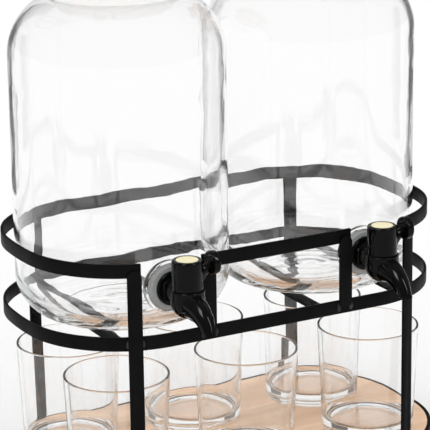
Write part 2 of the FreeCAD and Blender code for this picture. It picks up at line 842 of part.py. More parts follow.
def make_tap_handle(side):
    """Turning part of the tap: plug with its cross port, head and side lever with a round knob."""
    body = new_body(f"{side}_tap_handle")
    head = cell("head_radius")
    low, high = cell("head_bottom"), cell("head_top")
    plug = cell("plug_radius")
    ring = cell("ring_level")
    half = cell("groove_half")
    groove = cell("bore_radius") - cell("ring_wire") * 2 - cell("groove_clear")
    recess = cell("disc_radius") + cell("disc_clear")
    edge = cell("head_round")
    floor = high - cell("disc_thick")
    profile = new_sketch(body, f"{side}_handle_profile", "XZ_Plane")
    draw_outline(profile, [
        (ZERO, cell("plug_bottom")), (plug, cell("plug_bottom")), (plug, ring - half),
        (groove, ring - half), (groove, ring + half), (plug, ring + half),
        (plug, cell("skirt_top")), (cell("skirt_radius"), cell("skirt_top")),
        (cell("skirt_radius"), low), (head, low),
        (head, high - edge, (head - edge, high - edge), 1), (head - edge, high),
        (recess, high), (recess, floor), (ZERO, floor)])
    revolve(body, f"{side}_handle_turned", profile, "V_Axis")

    arm = new_sketch(body, f"{side}_arm_profile", "XZ_Plane")
    slope = cell("arm_slope")
    arm.AttachmentOffset = Placement(
        Vector(cell("arm_root").value, cell("arm_level").value, 0),
        Rotation(Vector(0, 0, 1), slope.value))
    arm.setExpression(".AttachmentOffset.Base.x", cell("arm_root").formula)
    arm.setExpression(".AttachmentOffset.Base.y", cell("arm_level").formula)
    thin = cell("arm_radius")
    draw_outline(arm, [
        (ZERO, ZERO), (cell("arm_length"), ZERO), (cell("arm_length"), thin),
        (cell("arm_foot_length") * 2, thin), (cell("arm_foot_length"), cell("arm_foot")),
        (ZERO, cell("arm_foot"))])
    revolve(body, f"{side}_arm", arm, "H_Axis")
    coin = new_sketch(body, f"{side}_knob_profile", "XZ_Plane")
    coin.AttachmentOffset = Placement(Vector(0, cell("knob_level").value, 0), Rotation())
    coin.setExpression(".AttachmentOffset.Base.y", cell("knob_level").formula)
    back = cell("knob_back")
    front = back + cell("knob_thick")
    knob = cell("knob_radius")
    rounding = cell("knob_round")
    bevel = cell("knob_edge")
    draw_outline(coin, [
        (back, ZERO), (front, ZERO), (front, knob - rounding, (front - rounding, knob - rounding), 1),
        (front - rounding, knob), (back + bevel, knob), (back, knob - bevel)])
    revolve(body, f"{side}_knob", coin, "H_Axis")
    skirt = new_sketch(body, f"{side}_skirt_outline", "XY_Plane", cell("skirt_top"))
    draw_circle(skirt, ZERO, ZERO, cell("skirt_radius"))
    draw_circle(skirt, ZERO, ZERO, plug)
    pocket(body, f"{side}_skirt", skirt, cell("skirt_top") - low + OVER)

    port = new_sketch(body, f"{side}_port_outline", "YZ_Plane")
    draw_circle(port, ZERO, ZERO, cell("port_radius"))
    pocket(body, f"{side}_port", port, plug * 2 + OVER * 2, both_sides=True)
    return body


def ring(name, plane, radius, hole, start, thick):
    """A flat ring from start, thick along the plane's normal."""
    body = new_body(name)
    sketch = new_sketch(body, f"{name}_outline", plane, start)
    draw_circle(sketch, ZERO, ZERO, radius)
    if hole is not None:
        draw_circle(sketch, ZERO, ZERO, hole)
    pad(body, f"{name}_thickness", sketch, thick)
    return body


def make_nut(side, start):
    """Hexagon nut on the stem inside the jar."""
    body = new_body(f"{side}_tap_nut")
    sketch = new_sketch(body, f"{side}_nut_outline", "XZ_Plane", start)
    corner = cell("nut_radius")
    across = corner * cosine(size_of(30))
    draw_outline(sketch, [
        (corner, ZERO), (corner / 2, across), (-corner / 2, across),
        (-corner, ZERO), (-corner / 2, -across), (corner / 2, -across)])
    draw_circle(sketch, ZERO, ZERO, cell("stem_radius") + cell("thread_clear"))
    pad(body, f"{side}_nut_blank", sketch, cell("nut_thick"))
    return body


def make_o_ring(side):
    wire = cell("ring_wire")
    middle = cell("bore_radius") - wire - cell("ring_clear")
    torus = doc.addObject("Part::Torus", f"{side}_tap_o_ring")
    torus.Label = torus.Name
    torus.Radius1 = middle.value
    torus.setExpression("Radius1", middle.formula)
    torus.Radius2 = wire.value
    torus.setExpression("Radius2", wire.formula)
    return torus


# Lid

def make_lid(side):
    """Wooden lid: a disc with rounded edges and a spigot with a groove for its seal.
    Its origin is on the jar's axis at the rim."""
    body = new_body(f"{side}_lid")
    profile = new_sketch(body, f"{side}_lid_profile", "XZ_Plane")
    radius, thick = cell("lid_radius"), cell("lid_thick")
    rounding, edge = cell("lid_round"), cell("lid_edge")
    spigot, depth = cell("spigot_radius"), cell("spigot_depth")
    screw = cell("lid_screw_radius") + cell("lid_screw_clear")
    head = cell("lid_screw_head") + cell("lid_screw_clear") * 2
    seat = cell("lid_screw_sink") - depth
    groove = cell("seal_inner")
    low, high = -cell("seal_high"), -cell("seal_low")
    draw_outline(profile, [
        (head, -depth), (spigot, -depth), (spigot, low), (groove, low), (groove, high), (spigot, high),
        (spigot, ZERO), (radius - edge, ZERO), (radius, edge),
        (radius, thick - rounding, (radius - rounding, thick - rounding), 1),
        (radius - rounding, thick), (screw, thick), (screw, seat), (head, seat)])
    revolve(body, f"{side}_lid_turned", profile, "V_Axis")
    return body


def make_lid_seal(side):
    body = new_body(f"{side}_lid_seal")
    profile = new_sketch(body, f"{side}_seal_profile", "XZ_Plane")
    inner, outer = cell("seal_inner"), cell("seal_outer")
    spigot, edge = cell("spigot_radius"), cell("seal_edge")
    low, high = -cell("seal_high"), -cell("seal_low")
    draw_outline(profile, [
        (inner, low), (spigot, low), (outer, low + edge), (outer, high - edge), (spigot, high),
        (inner, high)])
    revolve(body, f"{side}_seal_moulded", profile, "V_Axis")
    return body


def make_lid_knob(side):
    """Turned metal knob with a waist, on top of the lid."""
    body = new_body(f"{side}_lid_knob")
    profile = new_sketch(body, f"{side}_knob_profile", "XZ_Plane")
    base = cell("lid_thick")
    top = base + cell("lid_knob_height")
    radius, rounding = cell("lid_knob_radius"), cell("crown_round")
    foot, waist = cell("lid_knob_foot"), cell("lid_knob_waist")
    bore, bore_top = cell("lid_screw_radius"), base + cell("lid_knob_bore")
    draw_outline(profile, [
        (bore, base), (foot, base), (foot, base + cell("lid_knob_step")),
        (waist, base + cell("waist_low")), (waist, base + cell("waist_high")),
        (radius, base + cell("crown_low")), (radius, top - rounding, (radius - rounding, top - rounding), 1),
        (radius - rounding, top), (ZERO, top), (ZERO, bore_top), (bore, bore_top)])
    revolve(body, f"{side}_knob_turned", profile, "V_Axis")
    return body


def make_lid_screw(side):
    """Machine screw up through the lid into the knob."""
    body = new_body(f"{side}_lid_screw")
    profile = new_sketch(body, f"{side}_screw_profile", "XZ_Plane")
    shank = cell("lid_screw_radius") - cell("lid_screw_fit")
    head, edge = cell("lid_screw_head"), cell("lid_screw_edge")
    seat = cell("lid_screw_sink") - cell("spigot_depth")
    low = seat - cell("lid_screw_thick")
    tip = cell("lid_thick") + cell("lid_knob_bore") - cell("lid_screw_gap")
    draw_outline(profile, [
        (ZERO, low), (head - edge, low), (head, low + edge), (head, seat),
        (shank, seat), (shank, tip), (ZERO, tip)])
    revolve(body, f"{side}_screw_turned", profile, "V_Axis")
    return body


for side, sign in (("left", -1), ("right", 1)):
    jar_x = JAR_X * sign
    jar, jar_top = make_jar(side)
    keep(put(jar, jar_x))

    axis_y, tap_z = -cell("barrel_axis"), cell("tap_level")
    for piece in (make_tap_body(side), make_tap_handle(side)):
        keep(put(piece, jar_x, axis_y, tap_z))
    gasket_thick = cell("gasket_thick")
    hole = cell("stem_radius") + cell("thread_clear")
    face = cell("seat_face")
    back = face - cell("seat_thick")
    inner_thick = cell("inner_gasket_thick")
    keep(put(ring(f"{side}_tap_gasket", "XZ_Plane", cell("gasket_radius"), hole, face, gasket_thick),
             jar_x, ZERO, tap_z))
    keep(put(ring(f"{side}_inner_gasket", "XZ_Plane", cell("inner_gasket_radius"), hole,
                  back - inner_thick, inner_thick), jar_x, ZERO, tap_z))
    keep(put(make_nut(side, back - inner_thick - cell("nut_thick")), jar_x, ZERO, tap_z))
    disc_floor = cell("head_top") - cell("disc_thick")
    keep(put(ring(f"{side}_tap_disc", "XY_Plane", cell("disc_radius"), None, disc_floor,
                  cell("disc_thick")), jar_x, axis_y, tap_z))
    keep(put(make_o_ring(side), jar_x, axis_y, tap_z + cell("ring_level")))

    for piece in (make_lid(side), make_lid_seal(side), make_lid_knob(side), make_lid_screw(side)):
        keep(put(piece, jar_x, ZERO, jar_top))


# Tumblers

def make_glass(name):
    """A straight-sided tumbler with a slight taper and a thick floor."""
    body = new_body(name)
    profile = new_sketch(body, f"{name}_profile", "XZ_Plane")
    height, wall = cell("glass_height"), cell("glass_wall")
    top, foot = cell("glass_top_radius"), cell("glass_foot_radius")
    floor, rounding = cell("glass_floor"), cell("glass_round")
    lip, foot_edge = cell("glass_lip"), cell("glass_foot_edge")
    slope = (top - foot) / height
    inside = foot + slope * (floor + rounding) - wall
    rounding_at = (inside - rounding, floor + rounding)
    draw_outline(profile, [
        (ZERO, ZERO), (foot - foot_edge, ZERO), (foot + slope * foot_edge, foot_edge),
        (top, height - lip), (top - lip, height), (top - wall + lip, height),
        (top - wall, height - lip), (inside, floor + rounding, rounding_at, -1),
        (inside - rounding, floor), (ZERO, floor)])
    revolve(body, f"{name}_pressed", profile, "V_Axis")
    return body


number = 0
for row_side in (-1, 1):
    for column in (-1, 0, 1):
        number += 1
        glass = make_glass(f"glass_{number}")
        keep(put(glass, cell("glass_at_x") * column, cell("glass_at_y") * row_side, cell("wood_top")))


# Check every object, then write one file per sub-part

doc.recompute()
for item in doc.Objects:
    if "Invalid" in item.State or "Error" in item.State:
        raise ValueError(f"{item.Name} failed: {item.State}")
for item in SUBPARTS:
    if item.Shape.isNull() or not item.Shape.isValid() or not item.Shape.Solids:
        raise ValueError(f"{item.Label} has no valid solid")
for item in SUBPARTS:
    item.Shape.exportStep(f"parts/{item.Label}.step")
    box = item.Shape.BoundBox
    print(f"{item.Label:22s} {len(item.Shape.Solids):2d} solids {item.Shape.Volume / 1000:8.2f} cm3",
          f"x {box.XMin:7.1f} {box.XMax:7.1f} y {box.YMin:7.1f} {box.YMax:7.1f}",
          f"z {box.ZMin:6.1f} {box.ZMax:6.1f}")
print(len(SUBPARTS), "nodes")
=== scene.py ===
# %% [markdown]
# # A drink dispenser with two glass jars
# Two glass jars stand in an oval stand of flat steel bar, over a wooden base that holds six
# tumblers. Each jar has a plastic tap near its foot and a wooden lid on its neck. The construction
# is loaded first, as a fixed frame: every bar, jar, tap and tumbler has its real size and place
# there. This notebook gives it its looks, so no piece is moved. A bar only gets softer edges and a
# coat of paint, while glass, taps and screws are modelled again with finer shapes, in the same place.

# %% Load the frame
import json
import math

import bpy
from mathutils import Matrix, Vector

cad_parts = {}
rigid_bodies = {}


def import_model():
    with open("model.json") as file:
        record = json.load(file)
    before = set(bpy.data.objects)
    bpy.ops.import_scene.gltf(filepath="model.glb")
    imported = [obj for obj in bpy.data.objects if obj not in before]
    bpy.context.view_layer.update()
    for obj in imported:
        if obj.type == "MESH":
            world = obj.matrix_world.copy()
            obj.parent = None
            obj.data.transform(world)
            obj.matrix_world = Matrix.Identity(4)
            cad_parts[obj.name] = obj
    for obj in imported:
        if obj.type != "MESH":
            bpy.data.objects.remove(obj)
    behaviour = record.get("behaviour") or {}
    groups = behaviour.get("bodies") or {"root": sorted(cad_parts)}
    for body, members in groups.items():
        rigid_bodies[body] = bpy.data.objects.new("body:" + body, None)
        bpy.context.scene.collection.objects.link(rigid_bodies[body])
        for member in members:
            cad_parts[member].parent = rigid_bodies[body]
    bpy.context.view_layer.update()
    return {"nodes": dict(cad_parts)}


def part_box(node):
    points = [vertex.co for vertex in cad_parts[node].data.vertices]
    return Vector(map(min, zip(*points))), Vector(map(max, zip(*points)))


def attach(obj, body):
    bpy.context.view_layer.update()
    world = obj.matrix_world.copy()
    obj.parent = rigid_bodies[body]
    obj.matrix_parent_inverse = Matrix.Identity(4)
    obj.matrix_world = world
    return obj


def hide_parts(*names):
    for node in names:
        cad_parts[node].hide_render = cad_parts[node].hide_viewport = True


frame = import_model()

MM = 0.001
node_names = sorted(frame["nodes"])
print("nodes in the frame:", len(node_names))


# %% Middle and size of a node
def middle(node):
    low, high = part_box(node)
    return (low + high) / 2


def extent(node):
    low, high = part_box(node)
    return high - low


print("left jar is", [round(side / MM, 1) for side in extent("left_jar")], "mm")

# %% [markdown]
# ## Camera
# The picture was taken from the front left, a little above the tumblers, with a long lens. A camera
# is placed on a sphere round the middle of the stand: the azimuth turns it round the object, the
# elevation lifts it, and the roll tips it. Placing it by these angles is easier to correct than
# typing a place, because a change of one angle keeps the object in the middle of the picture.

# %% Camera
AZIMUTH = math.radians(-28.35)
ELEVATION = math.radians(16.22)
ROLL = math.radians(-0.81)
DISTANCE = 1.6586
LOOK_AT = Vector((0, 0, 0.1921))
LENS_MM = 191.96
SHIFT_X, SHIFT_Y = -0.0050, -0.0304


def camera_axes(azimuth, elevation, roll):
    """Right, up and backward directions of a camera that looks at the object."""
    back = Vector((math.sin(azimuth) * math.cos(elevation),
                   -math.cos(azimuth) * math.cos(elevation), math.sin(elevation)))
    level = Vector((math.cos(azimuth), math.sin(azimuth), 0))
    upright = back.cross(level)
    right = math.cos(roll) * level + math.sin(roll) * upright
    up = math.cos(roll) * upright - math.sin(roll) * level
    return right, up, back


right, up, back = camera_axes(AZIMUTH, ELEVATION, ROLL)
camera_data = bpy.data.cameras.new("camera")
camera_data.lens = LENS_MM
camera_data.sensor_width = 36
camera_data.shift_x, camera_data.shift_y = SHIFT_X, SHIFT_Y
camera_data.clip_start, camera_data.clip_end = 0.05, 60
camera = bpy.data.objects.new("camera", camera_data)
bpy.context.scene.collection.objects.link(camera)
axes = Matrix((right, up, back)).transposed().to_4x4()
camera.matrix_world = Matrix.Translation(LOOK_AT + back * DISTANCE) @ axes
bpy.context.scene.camera = camera
print("camera at", [round(x, 3) for x in camera.location])

# %% [markdown]
# ## Floor and light
# Glass has no colour of its own: what shows is the room that it bends and mirrors. A photographer
# lights it with a white room, so that it stays clear, and stands dark cards just outside the
# picture, so that its edges draw themselves as grey lines. The cards are hidden from the camera
# and only glass and gloss see them. Two soft lights are linked to the taps alone: they draw
# highlights on the black plastic and leave no patches on the glass.

# %% Light paths
scene = bpy.context.scene
scene.view_settings.view_transform = "Standard"
scene.cycles.max_bounces = 64
scene.cycles.transmission_bounces = 64
scene.cycles.glossy_bounces = 64
scene.cycles.transparent_max_bounces = 16
scene.cycles.blur_glossy = 0.0


# %% Nothing stays selected before an operator
def deselect():
    bpy.ops.object.select_all(action="DESELECT")


def make_active(piece):
    deselect()
    piece.select_set(True)
    bpy.context.view_layer.objects.active = piece


# %% Material helpers
def new_material(name, **settings):
    """A material with a principled shader whose sockets are set by name."""
    made = bpy.data.materials.new(name)
    made.use_nodes = True
    tree = made.node_tree
    shader = tree.nodes["Principled BSDF"]
    for key, value in settings.items():
        socket = shader.inputs[key.replace("_", " ").title().replace("Ior", "IOR")]
        socket.default_value = (*value, 1) if isinstance(value, tuple) else value
    return made, tree, shader


def add_node(tree, kind, inputs=None, **settings):
    node = tree.nodes.new(kind)
    for key, value in settings.items():
        setattr(node, key, value)
    for key, value in (inputs or {}).items():
        node.inputs[key].default_value = value
    return node


def object_coordinates(tree, scale=(1, 1, 1), centre=(0, 0, 0), turn=(0, 0, 0)):
    """Object coordinates in metres, moved to a centre, turned and then scaled."""
    source = add_node(tree, "ShaderNodeTexCoord")
    shifted = add_node(tree, "ShaderNodeMapping", {"Location": [-c for c in centre]})
    turned = add_node(tree, "ShaderNodeMapping", {"Rotation": turn, "Scale": scale})
    tree.links.new(source.outputs["Object"], shifted.inputs["Vector"])
    tree.links.new(shifted.outputs["Vector"], turned.inputs["Vector"])
    return turned.outputs["Vector"]


def noise(tree, vector, scale, detail=2.0, roughness=0.5, distortion=0.0):
    node = add_node(tree, "ShaderNodeTexNoise", {
        "Scale": scale, "Detail": detail, "Roughness": roughness, "Distortion": distortion})
    tree.links.new(vector, node.inputs["Vector"])
    return node.outputs["Fac"]


def spread(tree, value, low, high, start=0.0, end=1.0):
    """Map a texture's value from start..end to low..high."""
    node = add_node(tree, "ShaderNodeMapRange", {
        "From Min": start, "From Max": end, "To Min": low, "To Max": high})
    tree.links.new(value, node.inputs["Value"])
    return node.outputs["Result"]


def colour_ramp(tree, value, stops):
    """Colours at positions from 0 to 1: stops is a list of (position, (r, g, b))."""
    node = add_node(tree, "ShaderNodeValToRGB")
    ramp = node.color_ramp
    while len(ramp.elements) < len(stops):
        ramp.elements.new(1.0)
    for element, (position, colour) in zip(ramp.elements, stops):
        element.position = position
        element.color = (*colour, 1)
    tree.links.new(value, node.inputs["Fac"])
    return node.outputs["Color"]


def mix_colours(tree, share, first, second, blend="MIX"):
    """Blend two colour outputs. The share is a number or an output."""
    node = add_node(tree, "ShaderNodeMix", data_type="RGBA", blend_type=blend)
    if isinstance(share, (int, float)):
        node.inputs[0].default_value = share
    else:
        tree.links.new(share, node.inputs[0])
    for socket, source in ((node.inputs[6], first), (node.inputs[7], second)):
        if isinstance(source, tuple):
            socket.default_value = (*source, 1)
        else:
            tree.links.new(source, socket)
    return node.outputs[2]


def add_bump(tree, shader, height, distance, strength=1.0):
    node = add_node(tree, "ShaderNodeBump", {"Strength": strength, "Distance": distance})
    tree.links.new(height, node.inputs["Height"])
    tree.links.new(node.outputs["Normal"], shader.inputs["Normal"])


print("material helpers ready")

# %% White room
SEEN_LIGHT, MIRRORED_LIGHT, ROOM_LIGHT = 1.0, 0.38, 1.7
world = bpy.data.worlds.new("white_room")
world.use_nodes = True
world.cycles.sampling_method = "NONE"
sky = world.node_tree
rays = add_node(sky, "ShaderNodeLightPath")
mirrored = add_node(sky, "ShaderNodeMath", operation="SUBTRACT")
sky.links.new(rays.outputs["Is Glossy Ray"], mirrored.inputs[0])
sky.links.new(rays.outputs["Is Transmission Ray"], mirrored.inputs[1])
sight = spread(sky, mirrored.outputs["Value"], SEEN_LIGHT, MIRRORED_LIGHT)
strength = add_node(sky, "ShaderNodeMapRange", {"To Max": ROOM_LIGHT})
sky.links.new(rays.outputs["Diffuse Depth"], strength.inputs["Value"])
sky.links.new(sight, strength.inputs["To Min"])
sky.nodes["Background"].inputs["Color"].default_value = (1, 1, 1, 1)
sky.links.new(strength.outputs["Result"], sky.nodes["Background"].inputs["Strength"])
scene.world = world
print("room light", ROOM_LIGHT, "seen as", SEEN_LIGHT, "and mirrored as", MIRRORED_LIGHT)

# %% [markdown]
# The floor is a plain, pale sheet. It is large, so that its edge never shows, and only a little
# darker than the room, so that the stand's soft shadow can still be seen on it.

# %% Floor
FLOOR_COLOUR = (0.59, 0.59, 0.59)
bpy.ops.mesh.primitive_circle_add(vertices=96, radius=14, fill_type="NGON", location=(0, 0, 0))
floor = bpy.context.object
floor.name = "floor"
floor_material, floor_tree, floor_shader = new_material(
    "pale_paper", base_color=FLOOR_COLOUR, roughness=0.9, specular_ior_level=0.0)
paper = noise(floor_tree, object_coordinates(floor_tree), 900, 3)
add_bump(floor_tree, floor_shader, paper, 0.00002)
floor.data.materials.append(floor_material)
print("floor ready")


# %% Soft lights
def soft_light(name, azimuth, elevation, distance, width, height, power):
    """A large area light that faces the middle of the stand."""
    right, up, back = camera_axes(math.radians(azimuth), math.radians(elevation), 0)
    data = bpy.data.lights.new(name, "AREA")
    data.shape = "RECTANGLE"
    data.size, data.size_y = width, height
    data.energy = power
    light = bpy.data.objects.new(name, data)
    scene.collection.objects.link(light)
    turned = Matrix((right, up, back)).transposed().to_4x4()
    light.matrix_world = Matrix.Translation(LOOK_AT + back * distance) @ turned
    light.visible_camera = False
    return light


key_light = soft_light("key_light", -62, 57, 1.7, 0.50, 0.8, 20)
fill_light = soft_light("fill_light", 28, 40, 1.8, 0.22, 0.8, 11)


# %% Dark cards for the edges of the glass
def dark_card(name, azimuth, distance, width, height, tone):
    """An upright card that faces the object and that only glass and gloss see."""
    bpy.ops.mesh.primitive_plane_add(size=1, location=(0, 0, 0))
    card = bpy.context.object
    card.name = name
    right, up, back = camera_axes(math.radians(azimuth), 0, 0)
    turned = Matrix((right, up, back)).transposed().to_4x4()
    place = Matrix.Translation(back * distance + Vector((0, 0, height / 2)))
    card.matrix_world = place @ turned @ Matrix.Diagonal((width, height, 1, 1))
    coat, tree, shader = new_material(
        f"{name}_felt", base_color=(tone, tone, tone), roughness=1.0, specular_ior_level=0.0)
    add_bump(tree, shader, noise(tree, object_coordinates(tree), 400, 2), 0.0002)
    card.data.materials.append(coat)
    card.visible_camera = card.visible_diffuse = card.visible_shadow = False
    return card


CARD_TONE = 0.12
CARD_TURN, CARD_DISTANCE, CARD_WIDTH, CARD_HEIGHT = 142, 0.8, 0.28, 0.9
for name, turn in (("left_card", -CARD_TURN), ("right_card", CARD_TURN)):
    dark_card(name, math.degrees(AZIMUTH) + turn, CARD_DISTANCE, CARD_WIDTH, CARD_HEIGHT, CARD_TONE)
deselect()
print("cards ready")

# %% [markdown]
# ## Finishes
# Each finish is one procedural material. Patterns are laid out in object coordinates, in metres, so
# that grain and ripples have their real size on every piece. Numbers that are the same all over,
# such as the glass's refraction, are set on the shader itself.

# %% [markdown]
# ### Clear glass
# Bottle glass isn't perfectly even: it was blown or pressed, and light wanders a little as it goes
# through. A faint, wide bump does that without moving the surface. The thicker the glass, the
# greyer it looks, and a thin absorption inside the volume gives the walls their soft grey edges.


# %% Clear glass
def clear_glass(name, ripple, depth, density):
    made, tree, shader = new_material(
        name, base_color=(1.0, 1.0, 1.0), roughness=0.0, ior=1.5, transmission_weight=1.0)
    vector = object_coordinates(tree, scale=(1, 1, 0.45))
    height = noise(tree, vector, 1 / ripple, 2.5, 0.45)
    add_bump(tree, shader, height, depth)
    volume = add_node(tree, "ShaderNodeVolumeAbsorption", {
        "Color": (0.895, 0.905, 0.902, 1), "Density": density})
    tree.links.new(volume.outputs["Volume"], tree.nodes["Material Output"].inputs["Volume"])
    return made


jar_glass = clear_glass("jar_glass", 0.022, 0.0002, 22)
tumbler_glass = clear_glass("tumbler_glass", 0.03, 0.0001, 16)
print("glass:", jar_glass.name, tumbler_glass.name)

# %% [markdown]
# ### Powder coat
# The bars were welded, dipped and baked with a satin black powder. Close by, such a coat has the
# skin of an orange: fine bumps under a dull sheen. On the round weld beads it ran thicker and is
# shinier, so they take a second coat that differs only in gloss.


# %% Powder coat
def powder_coat(name, gloss):
    made, tree, shader = new_material(
        name, base_color=(0.003, 0.003, 0.003), roughness=0.5, specular_ior_level=gloss)
    vector = object_coordinates(tree)
    cloudy = noise(tree, vector, 55, 3, 0.6)
    peel = noise(tree, vector, 1500, 2, 0.55)
    shade = colour_ramp(tree, cloudy, [
        (0.30, (0.0020, 0.0020, 0.0021)), (0.70, (0.0045, 0.0045, 0.0047))])
    tree.links.new(shade, shader.inputs["Base Color"])
    tree.links.new(spread(tree, cloudy, 0.42, 0.58, 0.3, 0.7), shader.inputs["Roughness"])
    add_bump(tree, shader, peel, 0.00006, 0.6)
    return made


black_coat = powder_coat("black_powder_coat", 0.06)
weld_coat = powder_coat("coat_over_welds", 0.55)
print("coats:", black_coat.name, weld_coat.name)

# %% [markdown]
# ### Wood
# The base and the lids are a pale, close-grained wood under a thin lacquer. Three layers make it:
# broad bands for the growth rings, long thin streaks for the fibres, and short dark pores. Each is
# a noise that is stretched along the grain by scaling its coordinates. The base has one small knot.


# %% Wood
def pale_wood(name, centre, turn=(0, 0, 0), knots=(), depth=1.0):
    made, tree, shader = new_material(name, roughness=0.42, specular_ior_level=0.35, coat_weight=0.12,
                                      coat_roughness=0.35)
    place = {"centre": centre, "turn": turn}
    bands = noise(tree, object_coordinates(tree, (2.6, 34, 34), **place), 1.0, 5, 0.68, 0.9)
    fibres = noise(tree, object_coordinates(tree, (14, 620, 620), **place), 1.0, 3, 0.6)
    pores = noise(tree, object_coordinates(tree, (75, 1500, 1500), **place), 1.0, 2, 0.5)
    tones = ((0.34, (0.515, 0.340, 0.215)), (0.50, (0.625, 0.425, 0.285)), (0.64, (0.710, 0.505, 0.350)))
    # Below 1, depth darkens every tone of the wood evenly. This is painted shade, and it is used to darken the lids.
    tone = colour_ramp(tree, bands, [
        (position, tuple(channel * depth for channel in colour)) for position, colour in tones])
    streak = colour_ramp(tree, fibres, [(0.30, (0.80, 0.74, 0.68)), (0.62, (1.0, 1.0, 1.0))])
    toned = mix_colours(tree, 0.55, tone, streak, "MULTIPLY")
    dots = colour_ramp(tree, pores, [(0.28, (0.62, 0.50, 0.40)), (0.36, (1.0, 1.0, 1.0))])
    shade = mix_colours(tree, 0.6, toned, dots, "MULTIPLY")
    for index, (x, y, z, radius) in enumerate(knots):
        near = object_coordinates(tree, (0.75 / radius, 1 / radius, 1 / radius), (x, y, z))
        ball = add_node(tree, "ShaderNodeTexGradient", gradient_type="SPHERICAL")
        tree.links.new(near, ball.inputs["Vector"])
        ring = colour_ramp(tree, ball.outputs["Fac"], [
            (0.0, (1.0, 1.0, 1.0)), (0.35, (0.80, 0.70, 0.60)), (0.55, (0.97, 0.93, 0.88)),
            (0.75, (0.62, 0.46, 0.34))])
        shade = mix_colours(tree, 1.0, shade, ring, "MULTIPLY")
    tree.links.new(shade, shader.inputs["Base Color"])
    tree.links.new(spread(tree, fibres, 0.36, 0.52, 0.3, 0.7), shader.inputs["Roughness"])
    add_bump(tree, shader, fibres, 0.00004, 0.5)
    return made


BASE_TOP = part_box("wood_base")[1].z
KNOT = (0.062, -0.052, BASE_TOP, 0.0035)
base_wood = pale_wood("base_wood", (0.31, 0.07, 0), knots=[KNOT])
print("wood:", base_wood.name)

# %% [markdown]
# ### Black plastic
# The taps are moulded from a hard black plastic and come out of the mould glossy. The gloss isn't
# quite even, so a slow noise changes the roughness a little, and the light's edge looks alive.


# %% Black plastic
def moulded_plastic(name):
    made, tree, shader = new_material(
        name, base_color=(0.0015, 0.0015, 0.0015), roughness=0.12, specular_ior_level=0.11)
    vector = object_coordinates(tree)
    cloudy = noise(tree, vector, 140, 2, 0.5)
    tree.links.new(spread(tree, cloudy, 0.08, 0.16, 0.3, 0.7), shader.inputs["Roughness"])
    shade = colour_ramp(tree, cloudy, [(0.3, (0.0008, 0.0008, 0.0008)), (0.7, (0.0016, 0.0015, 0.0014))])
    tree.links.new(shade, shader.inputs["Base Color"])
    add_bump(tree, shader, noise(tree, vector, 260, 2, 0.5), 0.00003, 0.5)
    return made


black_plastic = moulded_plastic("black_plastic")
print("plastic:", black_plastic.name)

# %% [markdown]
# ### Silicone, rubber, steel and the gold disc
# The washers are milky silicone: light goes a little way in and comes out softened. The screws are
# zinc-plated steel with fine turning marks. The disc on each tap is thin gold-coloured metal,
# turned on a lathe, so its fine rings run round its own middle.


# %% Small finishes
def milky_silicone(name):
    made, tree, shader = new_material(
        name, base_color=(0.47, 0.475, 0.47), roughness=0.34, ior=1.41, transmission_weight=0.22,
        subsurface_weight=0.25, subsurface_scale=0.004)
    vector = object_coordinates(tree)
    shade = colour_ramp(tree, noise(tree, vector, 120, 3, 0.6), [
        (0.3, (0.30, 0.305, 0.30)), (0.7, (0.40, 0.405, 0.40))])
    tree.links.new(shade, shader.inputs["Base Color"])
    add_bump(tree, shader, noise(tree, vector, 500, 2), 0.00005, 0.5)
    return made


def dark_rubber(name):
    made, tree, shader = new_material(name, base_color=(0.02, 0.02, 0.02), roughness=0.6)
    vector = object_coordinates(tree)
    tree.links.new(spread(tree, noise(tree, vector, 300, 2), 0.5, 0.7), shader.inputs["Roughness"])
    add_bump(tree, shader, noise(tree, vector, 1800, 2), 0.00003, 0.5)
    return made


def plated_steel(name):
    made, tree, shader = new_material(name, base_color=(0.56, 0.56, 0.57), roughness=0.3, metallic=1.0)
    vector = object_coordinates(tree, (1, 1, 6))
    worn = noise(tree, vector, 420, 3, 0.6)
    shade = colour_ramp(tree, worn, [(0.3, (0.44, 0.44, 0.45)), (0.7, (0.62, 0.62, 0.63))])
    tree.links.new(shade, shader.inputs["Base Color"])
    tree.links.new(spread(tree, worn, 0.22, 0.42, 0.3, 0.7), shader.inputs["Roughness"])
    add_bump(tree, shader, worn, 0.00002, 0.4)
    return made


def gold_disc(name, centre):
    made, tree, shader = new_material(
        name, base_color=(0.80, 0.73, 0.46), roughness=0.36, metallic=0.55)
    vector = object_coordinates(tree, centre=centre)
    rings = add_node(tree, "ShaderNodeTexWave", {"Scale": 420, "Distortion": 0.4, "Detail": 1.0},
                     wave_type="RINGS", rings_direction="Z")
    tree.links.new(vector, rings.inputs["Vector"])
    shade = colour_ramp(tree, noise(tree, vector, 260, 3, 0.6), [
        (0.3, (0.74, 0.67, 0.40)), (0.7, (0.86, 0.80, 0.54))])
    tree.links.new(shade, shader.inputs["Base Color"])
    add_bump(tree, shader, rings.outputs["Fac"], 0.00002, 0.5)
    return made


silicone = milky_silicone("milky_silicone")
rubber = dark_rubber("dark_rubber")
steel = plated_steel("plated_steel")
print("small finishes ready")

# %% [markdown]
# ## Helpers for shaping
# Everything round on this object can be turned on a lathe: half of its outline is drawn point by
# point by extruding one vertex, and the spin tool sweeps it round an axis. Drawing the half outline
# keeps one list of points per piece, which is easier to read than a stack of discs.


# %% Lathe and outline helpers
def arc(centre_r, centre_h, radius, start, stop, steps):
    """Points (r, h) on an arc. Angles are in degrees, from the r direction towards the h direction."""
    points = []
    for step in range(steps + 1):
        angle = math.radians(start + (stop - start) * step / steps)
        points.append((centre_r + radius * math.cos(angle), centre_h + radius * math.sin(angle)))
    return points


def line(start, stop, steps):
    """Evenly spaced points from start to stop."""
    (r0, h0), (r1, h1) = start, stop
    return [(r0 + (r1 - r0) * k / steps, h0 + (h1 - h0) * k / steps) for k in range(steps + 1)]


def tidy_points(points):
    """The points in metres, without repeats."""
    kept = [points[0]]
    for point in points[1:]:
        if math.dist(point, kept[-1]) > 1e-4:
            kept.append(point)
    return [(r * MM, h * MM) for r, h in kept]


